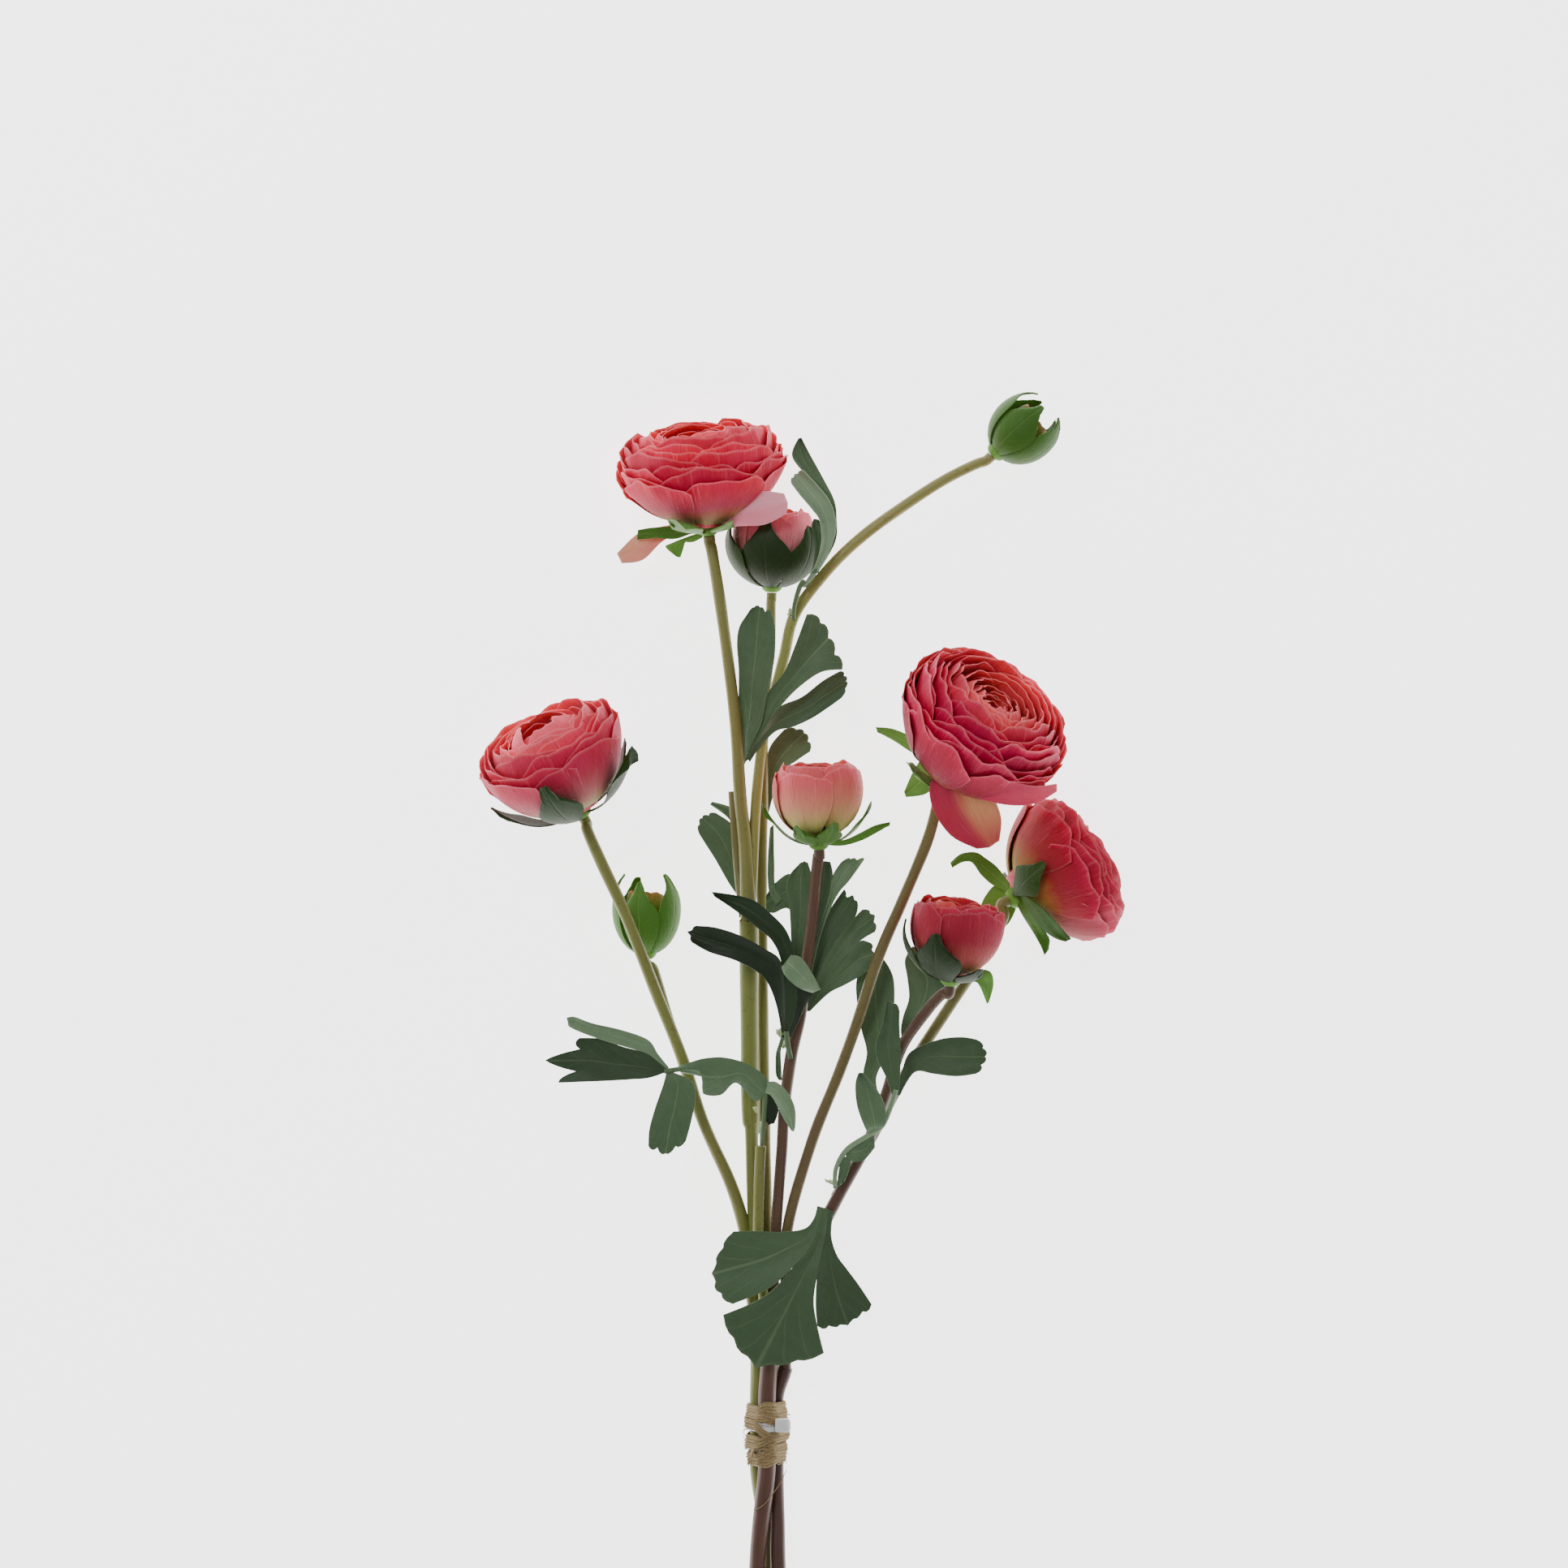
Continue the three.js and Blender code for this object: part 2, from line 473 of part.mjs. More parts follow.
// ---- leaves ------------------------------------------------------------------
const LEAVES = {
  leaf_1: {
    rods: [[[977.5, 762, 32.1, 0.9], [979, 745, 34.2, 0.9], [986, 722, 35.8, 1], [992, 716, 36.4, 0.9]]],
    sheets: [
      [{ cup: 1.5, teeth: [0, 3, 3, 2, 0],
        l: [[988, 723, 36], [1004, 697, 38], [1012, 668, 40], [1010, 642, 41], [1001, 628, 42], [985, 609, 41],
          [975, 596, 39]],
        r: [[992, 724, 36], [1012, 698, 38], [1026, 669, 39], [1030, 645, 40], [1023, 619, 41],
          [1008, 599, 41], [990, 580, 40]] }],
      [{ cup: 1,
        l: [[1000, 706, 37.6], [1018, 672, 37], [1022, 640, 36], [1013, 608, 35], [990, 582, 34], [976, 561, 33],
          [984, 540, 32]],
        r: [[1008, 706, 37.4], [1029, 668, 36.5], [1031, 641, 35], [1028, 617, 34], [1014, 589, 33],
          [998, 560, 32], [987, 539, 32]] }],
      [{ cup: 1,
        l: [[989, 722, 35.6], [1001, 700, 34.4], [1004, 670, 33.6], [1000, 650, 33.4], [1003, 639, 33.2]],
        r: [[994, 724, 35.6], [1010, 700, 34.4], [1015, 672, 33.6], [1013, 650, 33.4], [1008, 640, 33.2]] }],
    ],
  },
  leaf_2: {
    rods: [],
    sheets: [[
      { cup: 1.4, teeth: [0, 8, 7, 0, 0],
        l: [[917, 942, 23.4], [911, 905, 23.6], [910, 870, 24.1], [910, 824, 27], [908, 793, 29],
          [911, 772, 30], [921, 757, 31]],
        r: [[919, 938, 24], [927, 915, 26.8], [938, 890, 29], [945, 856, 30.6], [954, 812, 31], [955, 775, 31.5],
          [950, 753, 31.5]] },
      { cup: 2, teeth: [0, 9, 7, 2, 0],
        l: [[919, 938, 24], [927, 915, 26.8], [938, 890, 29], [945, 856, 30.6], [966, 828, 33], [978, 800, 35],
          [994, 757, 36]],
        r: [[922, 936, 24.3], [931, 915, 27.4], [945, 893, 30], [961, 871, 31.4], [984, 847, 34], [1012, 828, 36],
          [1038, 825, 35]] },
      { cup: 1.6, teeth: [0, 5, 8, 6, 0],
        l: [[922, 936, 24.3], [931, 915, 27.4], [945, 893, 30], [961, 871, 31.4], [988, 859, 31], [1014, 839, 31],
          [1035, 827, 30]],
        r: [[924, 939, 24], [936, 921, 26.5], [956, 901, 28], [976, 896, 29], [1000, 885, 30],
          [1020, 872, 30], [1037, 860, 29.5]] },
    ]],
  },
  leaf_3: {
    rods: [[[920, 1150, 21.3, 0.9], [919, 1126, 18, 1], [918.4, 1102.6, 16.1, 1.1]]],
    sheets: [[
      { cup: 1.2, teeth: [0, 6, 9, 5, 0],
        l: [[912, 1108, 16], [898, 1088, 16], [882, 1060, 17], [868, 1038, 18], [861, 1026, 18]],
        r: [[917, 1106, 16], [915, 1065, 16], [908, 1032, 16.6], [900, 1014, 17.4], [882, 1002, 18]] },
      { cup: 0.6,
        l: [[917, 1106, 16], [915, 1065, 16], [908, 1032, 16.6], [898, 1009, 16.6], [875, 991, 17.4]],
        r: [[920, 1104, 16], [921, 1062, 15.4], [916, 1024, 15.6], [904, 997, 16.6], [877, 988, 17.4]] },
      { cup: 1.4, teeth: [0, 10, 13, 8, 0],
        l: [[920, 1104, 16], [927, 1050, 15], [934, 1000, 15], [943, 955, 15.2], [948, 922, 16],
          [966, 899, 17.6]],
        r: [[924, 1106, 16], [936, 1052, 15], [946, 1005, 15], [962, 954, 15.2], [982, 937, 16.4],
          [998, 926, 17.6]] },
    ]],
  },
  leaf_4: {
    rods: [],
    sheets: [[
      { cup: 1, teeth: [0, 3, 4, 3, 0],
        l: [[982, 1248, 27.4], [976, 1180, 28], [973, 1122, 31], [969, 1094, 33], [974, 1077, 34.4],
          [984, 1066, 35]],
        r: [[985, 1247, 27.4], [990, 1180, 28], [999, 1122, 31], [1003, 1098, 33], [1000, 1078, 34],
          [996, 1066, 34.6]] },
      { cup: 1,
        l: [[985, 1247, 27.4], [990, 1180, 28], [999, 1122, 31], [1003, 1098, 33], [1004, 1076, 34.6],
          [1010, 1060, 35.2]],
        r: [[988, 1246, 27.4], [1002, 1172, 28], [1014, 1128, 31], [1022, 1104, 33], [1026, 1079, 34.6],
          [1023, 1062, 35.4]] },
      { cup: 1, teeth: [0, 4, 2, 0, 2],
        l: [[988, 1246, 27.4], [1002, 1172, 28], [1014, 1128, 31], [1022, 1104, 33], [1026, 1079, 34.6],
          [1036, 1063, 36]],
        r: [[990, 1246, 27.4], [1006, 1172, 29], [1018, 1132, 32], [1032, 1102, 35], [1047, 1084, 37],
          [1064, 1060, 38]] },
    ], [
      { cup: 1, teeth: [0, -6, 2, 2, 0],
        l: [[989, 1248, 27.2], [1002, 1178, 27.6], [1016, 1133, 29.2], [1029, 1111, 30.4], [1040, 1096, 31.4]],
        r: [[992, 1247, 27.2], [1010, 1195, 28], [1030, 1160, 29.6], [1052, 1132, 31], [1057, 1119, 31.8]] },
      { cup: 1, teeth: [0, 5, 7, 3, 0],
        l: [[992, 1247, 27.2], [1010, 1195, 28], [1030, 1160, 29.6], [1052, 1132, 31], [1062, 1121, 32]],
        r: [[995, 1246, 27.2], [1018, 1207, 28.2], [1039, 1182, 29.8], [1059, 1160, 31], [1078, 1148, 32]] },
      { cup: 1, teeth: [0, 2, 2, 2, 0],
        l: [[995, 1246, 27.2], [1018, 1207, 28.2], [1039, 1182, 29.8], [1059, 1160, 31], [1070, 1161, 31.6]],
        r: [[998, 1246, 27.2], [1021, 1224, 28], [1040, 1214, 29.2], [1058, 1204, 30.4], [1074, 1193, 31.4]] },
    ], [
      { cup: 0.6,
        l: [[984, 1150, 28.4], [972, 1120, 27.4], [953, 1125, 25.4], [944, 1122, 24.6]],
        r: [[990, 1120, 30.2], [976, 1078, 29], [955, 1088, 26.6], [944, 1104, 25.2]] },
    ], [
      { cup: 0,
        l: [[956, 1116, 26.4], [947, 1096, 25.8], [946, 1060, 25.4], [949, 1020, 25]],
        r: [[964, 1108, 27], [955, 1092, 26.4], [954, 1060, 25.4], [953, 1016, 25]] },
    ]],
  },
  leaf_5: {
    rods: [[[974, 1304, 31, 1], [970, 1284, 32.6, 1.1], [969, 1270, 34, 1]]],
    sheets: [[
      { cup: 1.6, teeth: [0, 2, 7, 2, 0],
        l: [[964, 1279, 33], [957, 1240, 36], [946, 1211, 39], [931, 1196, 41], [905, 1183, 42],
          [874, 1173, 41], [853, 1161, 40]],
        r: [[968, 1277, 33.4], [968, 1240, 38], [963, 1187, 42], [940, 1168, 43], [910, 1152, 44],
          [881, 1143, 43], [858, 1141, 41]] },
      { cup: 1.6,
        l: [[968, 1277, 33.4], [968, 1240, 38], [963, 1187, 42], [952, 1160, 44], [933, 1143, 45],
          [905, 1121, 44], [880, 1104, 42]],
        r: [[971, 1277, 33.4], [982, 1235, 38], [981, 1188, 42], [971, 1151, 43], [953, 1129, 44],
          [925, 1108, 44], [877, 1099, 42]] },
    ], [
      { cup: 0,
        l: [[970, 1278, 33], [978, 1245, 36.6], [983, 1214, 40]],
        r: [[975, 1277, 32.6], [994, 1237, 36.4], [1004, 1221, 40]] },
    ], [
      { cup: -1.4,
        l: [[1011, 1219, 40.6], [1000, 1198, 45], [987, 1180, 46.6], [974, 1177, 45.6]],
        r: [[1000, 1223, 40], [984, 1217, 45], [969, 1204, 46.4], [963, 1192, 45]] },
    ], [
      { cup: 0,
        l: [[964, 1272, 34], [959, 1288, 29], [956, 1300, 25], [956, 1322, 23.6], [960, 1331, 23]],
        r: [[969, 1274, 34], [963, 1290, 29], [962, 1302, 25], [963, 1322, 23.6], [963, 1331, 23]] },
    ]],
  },
  leaf_6: {
    rods: [[[938.5, 1410.8, 22.8, 0.8], [941, 1385, 25.6, 0.9], [943, 1350, 27.6, 1], [944, 1336, 29.4, 1]],
      [[846, 1316, 32.6, 1], [833, 1318, 33, 1], [818, 1320, 33.2, 1]]],
    sheets: [[
      { cup: -1.4,
        l: [[948, 1346, 28], [944, 1328, 30], [921, 1311, 33], [893, 1303, 34], [868, 1304, 34],
          [850, 1309, 34], [834, 1315, 33]],
        r: [[941, 1350, 27.6], [929, 1356, 28], [907, 1334, 31], [888, 1349, 29.6], [866, 1347, 29.6],
          [872, 1330, 31.6], [839, 1321, 32.4]] },
    ], [
      { cup: 0.8,
        l: [[824, 1315, 33], [811, 1299, 35], [798, 1281, 36.4], [765, 1269, 36.4], [730, 1261, 35],
          [708, 1253, 33], [698, 1254, 32]],
        r: [[822, 1318, 33], [808, 1306, 34.6], [794, 1297, 35.6], [757, 1286, 36.4], [724, 1275, 35],
          [703, 1266, 33], [700, 1262, 32]] },
      { cup: 1.2, teeth: [0, -7, 30, -15, 0],
        l: [[822, 1318, 33], [808, 1306, 34.6], [794, 1297, 35.6], [765, 1289, 34.4], [740, 1280, 33],
          [714, 1279, 31.6]],
        r: [[821, 1321, 33], [800, 1328, 34], [778, 1330, 33.4], [745, 1332, 32.4], [715, 1333, 31],
          [688, 1334, 29.6]] },
      { cup: 1.2, teeth: [0, 4, 13, 5, 0],
        l: [[821, 1321, 33], [817, 1337, 34], [807, 1366, 33.4], [800, 1392, 32], [799, 1412, 31]],
        r: [[826, 1320, 33], [852, 1332, 34], [857, 1352, 33.6], [852, 1380, 32.4], [845, 1406, 31]] },
    ], [
      { cup: -1,
        l: [[943, 1334, 29.4], [956, 1333, 31.4], [970, 1345, 31.4], [979, 1364, 30], [980, 1384, 29],
          [978, 1394, 28.6]],
        r: [[942, 1346, 28.4], [950, 1350, 30.4], [957, 1361, 30], [965, 1377, 29], [972, 1388, 28.6],
          [975, 1393, 28.4]] },
    ], [
      { cup: 0,
        l: [[946, 1338, 28.8], [957, 1350, 27.6], [959, 1368, 27], [954, 1384, 26.4]],
        r: [[941, 1344, 28.2], [943, 1362, 26.8], [943, 1378, 26.2], [947, 1386, 26]] },
    ]],
  },
  leaf_7: {
    rods: [[[1029, 1463, 21.6, 0.9], [1030, 1440, 26.6, 0.9], [1043, 1417, 30.6, 1], [1066, 1401, 34.6, 1],
      [1086, 1388, 37.4, 1], [1097, 1365, 39, 1], [1104, 1342, 40, 1]]],
    sheets: [[
      { cup: 1, teeth: [0, 5, 2, 6, 0],
        l: [[1099, 1349, 40], [1092, 1328, 41.4], [1081, 1305, 43], [1079, 1286, 43.6], [1087, 1262, 44.2],
          [1092, 1236, 44.2]],
        r: [[1108, 1348, 39.6], [1109, 1325, 41.4], [1110, 1300, 43], [1109, 1280, 43.6], [1108, 1262, 44.2],
          [1108, 1246, 44.2]] },
    ], [
      { cup: 1.4, teeth: [0, 8, 11, 6, 0],
        l: [[1103, 1349, 39.4], [1111, 1322, 36], [1122, 1296, 33.2], [1157, 1281, 33.6], [1185, 1278, 35],
          [1203, 1281, 36]],
        r: [[1109, 1350, 39.2], [1118, 1332, 36], [1130, 1320, 33.6], [1150, 1323, 34], [1178, 1326, 35],
          [1203, 1323, 36]] },
    ], [
      { cup: 1.2,
        l: [[1072, 1400, 34.4], [1065, 1388, 39], [1056, 1362, 42], [1054, 1336, 43], [1058, 1322, 43]],
        r: [[1080, 1393, 35.6], [1091, 1385, 39.4], [1090, 1362, 42], [1079, 1340, 43], [1063, 1322, 43]] },
    ], [
      { cup: 0,
        l: [[1040, 1421, 29.4], [1050, 1431, 30], [1065, 1429, 31.4], [1078, 1414, 34.6]],
        r: [[1044, 1415, 30.6], [1056, 1408, 32.6], [1066, 1402, 34.2], [1077, 1394, 35.8]] },
    ], [
      { cup: 0,
        l: [[1036, 1426, 29], [1033, 1446, 26.4], [1031, 1463, 25]],
        r: [[1050, 1424, 30.2], [1046, 1442, 28], [1039, 1458, 26]] },
    ]],
  },
  leaf_8: {
    rods: [],
    sheets: [[
      { cup: 1.2, teeth: [0, 16, 23, 18, 0],
        l: [[1007, 1486, 20.4], [1003, 1501, 22.4], [991, 1514, 23.4], [962, 1518, 25], [930, 1517, 25.6],
          [904, 1517, 24.6]],
        r: [[1014, 1488, 20.4], [1008, 1513, 22.8], [998, 1536, 24.4], [982, 1556, 26], [948, 1587, 26.6],
          [903, 1607, 25]] },
      { cup: 1.4, teeth: [0, 30, 46, 30, 6],
        l: [[1014, 1488, 20.4], [1008, 1513, 22.8], [998, 1536, 24.4], [982, 1556, 26], [944, 1596, 25.6],
          [891, 1620, 24]],
        r: [[1021, 1490, 20.4], [1018, 1518, 22.8], [1012, 1545, 24.4], [1007, 1570, 25.6], [1003, 1612, 24.6],
          [1018, 1662, 23.6]] },
      { cup: 1.2, teeth: [0, 5, 9, 4, 0],
        l: [[1021, 1490, 20.4], [1018, 1518, 22.8], [1012, 1545, 24.4], [1007, 1570, 25.6], [1005, 1606, 24.4],
          [1007, 1634, 23]],
        r: [[1027, 1493, 20.4], [1024, 1522, 22.8], [1031, 1546, 24], [1043, 1563, 24.6], [1058, 1583, 24.2],
          [1074, 1607, 23.4]] },
    ]],
  },
  leaf_9: {
    rods: [],
    sheets: [[
      { cup: 1.2,
        l: [[1113, 1285, 35.8], [1110, 1270, 34], [1113, 1252, 33], [1120, 1230, 32], [1118, 1205, 31],
          [1115, 1183, 30.4], [1124, 1166, 30]],
        r: [[1119, 1286, 35.8], [1128, 1274, 34], [1143, 1254, 33], [1157, 1234, 32], [1166, 1212, 31],
          [1152, 1188, 30.4], [1133, 1168, 30]] },
    ]],
  },
  leaf_10: {
    rods: [],
    sheets: [[
      { cup: 1.2,
        l: [[1078, 1358, 29.6], [1064, 1326, 27], [1068, 1296, 26.4], [1060, 1262, 26.4], [1055, 1210, 26.8],
          [1070, 1180, 28]],
        r: [[1084, 1354, 29.5], [1080, 1326, 26.8], [1098, 1290, 26.4], [1101, 1256, 27], [1101, 1206, 28.4],
          [1086, 1178, 29]] },
    ]],
  },
};

const leafOf = ({ rods, sheets }) => {
  const blades = sheets.map((sheet) => {
    const { points, quads } = netOf(sheet);
    return thicken(points, quads, LEAF);
  });
  const stalks = rods.map((line) => rod(curve(line.map((p) => [...at(p), p[3]]), 1), 6));
  return fuse([...blades, ...stalks]);
};

// ---- the tie -----------------------------------------------------------------
const HELD = [TIED.olive, TIED.plum, TIED.right].map(([x, z, r]) => {
  const [cx, , cz] = at([x, TIED.y, z]);
  return { cx, cz, r };
});

// A flat band wound once round the stems: out is its clearance from them, slope and
// skew tip it along the stems, phase turns its corners.
const band = (y, out, width, thick, slope = 0, skew = 0, phase = 0.5, sides = 12) => {
  const level = at([0, TIED.y, 8])[1] + y;
  const points = [];
  for (let k = 0; k < sides; k += 1) {
    const a = 2 * Math.PI * (k + phase) / sides;
    const [c, s] = [Math.cos(a), Math.sin(a)];
    const reach = (h) => h.cx * c + h.cz * s + h.r;
    const held = HELD.reduce((best, h) => (reach(h) > reach(best) ? h : best));
    const along = level + slope * c + skew * s;
    for (const [side, lay] of [[-1, 0], [1, 0], [1, 1], [-1, 1]]) {
      const far = held.r + out + lay * thick;
      points.push([held.cx + far * c, along + side * width / 2, held.cz + far * s]);
    }
  }
  const faces = [];
  for (let k = 0; k < sides; k += 1) {
    for (let c = 0; c < 4; c += 1) {
      const [a, b] = [k * 4 + c, k * 4 + (c + 1) % 4];
      const [d, e] = [((k + 1) % sides) * 4 + c, ((k + 1) % sides) * 4 + (c + 1) % 4];
      faces.push([a, d, e], [a, e, b]);
    }
  }
  return solid(points, faces);
};

const boxAt = (centre, size) => {
  const body = new THREE.BoxGeometry(...size).translate(...centre);
  const position = body.getAttribute('position');
  const index = body.getIndex();
  const seen = new Map();
  const points = [];
  const name = Array.from({ length: position.count }, (_, i) => {
    const p = [position.getX(i), position.getY(i), position.getZ(i)];
    const key = p.join();
    if (!seen.has(key)) seen.set(key, points.push(p) - 1);
    return seen.get(key);
  });
  const faces = [];
  for (let i = 0; i < index.count; i += 3) faces.push([0, 1, 2].map((k) => name[index.getX(i + k)]));
  return solid(points, faces);
};

const TIE_THICK = 0.8;
const TIE_WIDTH = 3.4;
const TIE_UP = 3;              // the tie sits this far above the middle of the wrap
const tieOf = (grow) => {
  const [x, y, z] = at([964, TIED.y, 15.4]);
  return fuse([
    band(TIE_UP, GAP - grow, TIE_WIDTH + 2 * grow, TIE_THICK + 2 * grow),
    boxAt([x, y + TIE_UP, z], [5.4 + 2 * grow, 5 + 2 * grow, 3.6 + 2 * grow]),
  ]);
};
const cleared = HELD.map(({ cx, cz, r }) => rod([
  [cx, at([0, 1830, 8])[1], cz, r + GAP * 0.9], [cx, at([0, 1700, 8])[1], cz, r + GAP * 0.9]], 16));
const cableTie = tieOf(0).subtract(fuse(cleared));

const raffia = () => {
  const over = TIE_THICK + 2 * GAP + 0.06;
  const wraps = fuse([
    band(9, GAP + 0.1, 5.4, 0.9, 0.5, 0.6, 0.1),
    band(5.8, over - 0.6, 3.6, 1, -1, 0.6, 0.4),
    band(2.2, over, 4, 0.9, -2.4, -2, 0.7),
    band(-1.6, over - 0.6, 4.6, 1, 1.2, -0.6, 0.25),
    band(-4.4, over - 0.8, 5, 0.9, -1.6, 0.4, 0.6),
    band(-8.6, GAP + 0.1, 6, 0.9, 0.8, -0.5, 0.9),
  ]);
  const tuft = [0, 1, 2].map((i) => rod([
    [...at([930 + i, 1786, 13.2]), 0.8],
    [...at([925 + i, 1797, 14 + i * 0.6]), 0.6],
    [...at([921 + 3.4 * i, 1806, 14.2 + i * 0.8]), 0.5],
  ], 5));
  return filled(fuse([wraps, ...tuft]).subtract(tieOf(GAP)));
};

// ---- the bunch ---------------------------------------------------------------
const finish = (color, roughness) => new THREE.MeshStandardMaterial({ color, roughness, metalness: 0 });
const group = new THREE.Group();
group.name = 'persian_buttercup_bunch';

const place = (name, body, color, roughness) => {
  const mesh = body.getMesh();
  const geometry = new THREE.BufferGeometry();
  const flat = [];
  for (let i = 0; i < mesh.vertProperties.length; i += mesh.numProp) {
    flat.push(mesh.vertProperties[i], mesh.vertProperties[i + 1], mesh.vertProperties[i + 2]);
  }
  geometry.setAttribute('position', new THREE.Float32BufferAttribute(flat, 3));
  geometry.setIndex(Array.from(mesh.triVerts));
  geometry.computeVertexNormals();
  const out = new THREE.Mesh(geometry, finish(color, roughness));
  out.name = name;
  group.add(out);
};

const PINK = { bloom_a: '#d9808c', bloom_b: '#de6f76', bloom_c: '#cf5f78', bloom_d: '#dd6b6e' };
for (const [name, spec] of Object.entries(HEADS)) {
  place(`${name}_petals`, below(petalsOf(spec)), PINK[name], 0.62);
  place(`${name}_calyx`, below(calyxOf(spec)), '#6d8a3f', 0.6);
}
for (const [name, spec] of Object.entries(BUDS)) {
  place(`${name}_petals`, below(petalsOf(spec)), '#d5646f', 0.62);
  place(`${name}_calyx`, below(calyxOf(spec)), '#4f7a35', 0.6);
}
for (const [name, lines] of Object.entries(SPRAYS)) place(name, sprayOf(lines), '#75743a', 0.5);
for (const [name, leaf] of Object.entries(LEAVES)) place(name, leafOf(leaf), '#4c6647', 0.8);
place('cable_tie', cableTie, '#e9e9ea', 0.35);
place('raffia_wrap', raffia(), '#cdb27e', 0.85);

export default group;
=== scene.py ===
import math
from functools import partialmethod

import bpy
import numpy as np
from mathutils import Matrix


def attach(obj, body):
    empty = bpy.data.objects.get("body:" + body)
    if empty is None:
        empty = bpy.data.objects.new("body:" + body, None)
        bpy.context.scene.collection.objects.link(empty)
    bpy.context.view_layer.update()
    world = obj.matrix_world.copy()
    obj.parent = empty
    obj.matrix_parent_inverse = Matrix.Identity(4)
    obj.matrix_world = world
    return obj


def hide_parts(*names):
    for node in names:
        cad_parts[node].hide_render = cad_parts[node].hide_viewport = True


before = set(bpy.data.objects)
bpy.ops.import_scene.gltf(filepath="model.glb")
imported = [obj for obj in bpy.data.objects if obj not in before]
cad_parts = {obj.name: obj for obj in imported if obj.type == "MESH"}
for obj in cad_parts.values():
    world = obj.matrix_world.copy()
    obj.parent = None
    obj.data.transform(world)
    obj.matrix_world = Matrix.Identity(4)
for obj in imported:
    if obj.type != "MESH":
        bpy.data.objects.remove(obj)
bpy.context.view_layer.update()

# Places are [px, py, z]: the pixel of the reference picture, which looks straight down
# on the bunch, and the height over the table in millimetres.
MM = 0.001
MM_PER_PX = 0.3         # at the height LEVEL
LEVEL = 30
EYE = 1962              # height of the camera
CENTRE_PX = 966
SHIFT = (-5.78, 97.32)  # where the middle of the picture lies
GAP = 0.35              # clearance between neighbouring pieces
PETALS_UP = 2 + GAP     # foot of the petals over the base of a head
SEPALS_OUT = 2          # how far the sepals stand off the petals
PRESSED = 0.5           # what would lie lower than this is pressed flat by the table
BIG_HEAD = 20           # radius from which petals are cut finer
OPEN_HEAD = 14          # radius from which the middle shows, so that it is filled
STEM_SIDES = 14

TAU = 2 * math.pi


# ---- places and curves ----
def at(p):
    p = np.asarray(p, float)
    scale = MM_PER_PX * (EYE - p[..., 2]) / (EYE - LEVEL)
    return np.stack([
        (p[..., 0] - CENTRE_PX) * scale + SHIFT[0],
        (CENTRE_PX - p[..., 1]) * scale + SHIFT[1],
        p[..., 2],
    ], -1)


def unit(v):
    v = np.asarray(v, float)
    return v / np.maximum(np.linalg.norm(v, axis=-1, keepdims=True), 1e-9)


def smooth(t):
    t = np.clip(t, 0, 1)
    return t * t * (3 - 2 * t)


def mix(a, b, t):
    return a + (b - a) * t


def places(text, before=()):
    """Rows of numbers, set apart by commas; =n at the start repeats the first n rows of before."""
    head, text = text.split(" ", 1) if text.startswith("=") else ("=0", text)
    return [*before[:int(head[1:])], *([float(v) for v in row.split()] for row in text.split(","))]


def lines(text):
    """The lines of a table; one that ends with a comma goes on in the next."""
    return text.strip().replace(",\n", ", ").splitlines()


def lobes(text):
    """Lobes of three lines each: tone, cup and teeth; the left edge; the right edge.
    In the left edge, =n repeats the first n places of the last lobe's right edge."""
    rows, edge = lines(text), ()
    for head, left, right in zip(rows[::3], rows[1::3], rows[2::3]):
        tone, cup, *teeth = map(float, head.split())
        left, edge = places(left, edge), places(right)
        yield tone, {"l": left, "r": edge, "cup": cup, "teeth": teeth}


def spline(points, steps):
    """A smooth line through the points, with steps pieces between each two."""
    p = np.asarray(points, float)
    q = np.concatenate([p[:1], p, p[-1:]])
    t = (np.arange(steps) / steps).reshape(-1, *[1] * (p.ndim - 1))
    out = []
    for i in range(len(p) - 1):
        a, b, c, d = q[i:i + 4]
        out.append(0.5 * (2 * b + (c - a) * t + (2 * a - 5 * b + 4 * c - d) * t ** 2
                          + (3 * b - a - 3 * c + d) * t ** 3))
    return np.concatenate(out + [p[-1:]])


class Head:
    """The frame of a bloom or bud: w runs along its axis, u and v across it."""

    def __init__(self, spec):
        self.__dict__.update(spec)
        self.w = unit(spec["axis"])
        self.u = unit(np.cross([0, 0, 1], self.w))
        self.v = np.cross(self.w, self.u)
        self.origin = at(spec["base"])

    def place(self, x, y, z):
        x, y, z = np.broadcast_arrays(x, y, z)
        return (self.origin + x[..., None] * self.u + y[..., None] * self.v
                + z[..., None] * self.w)


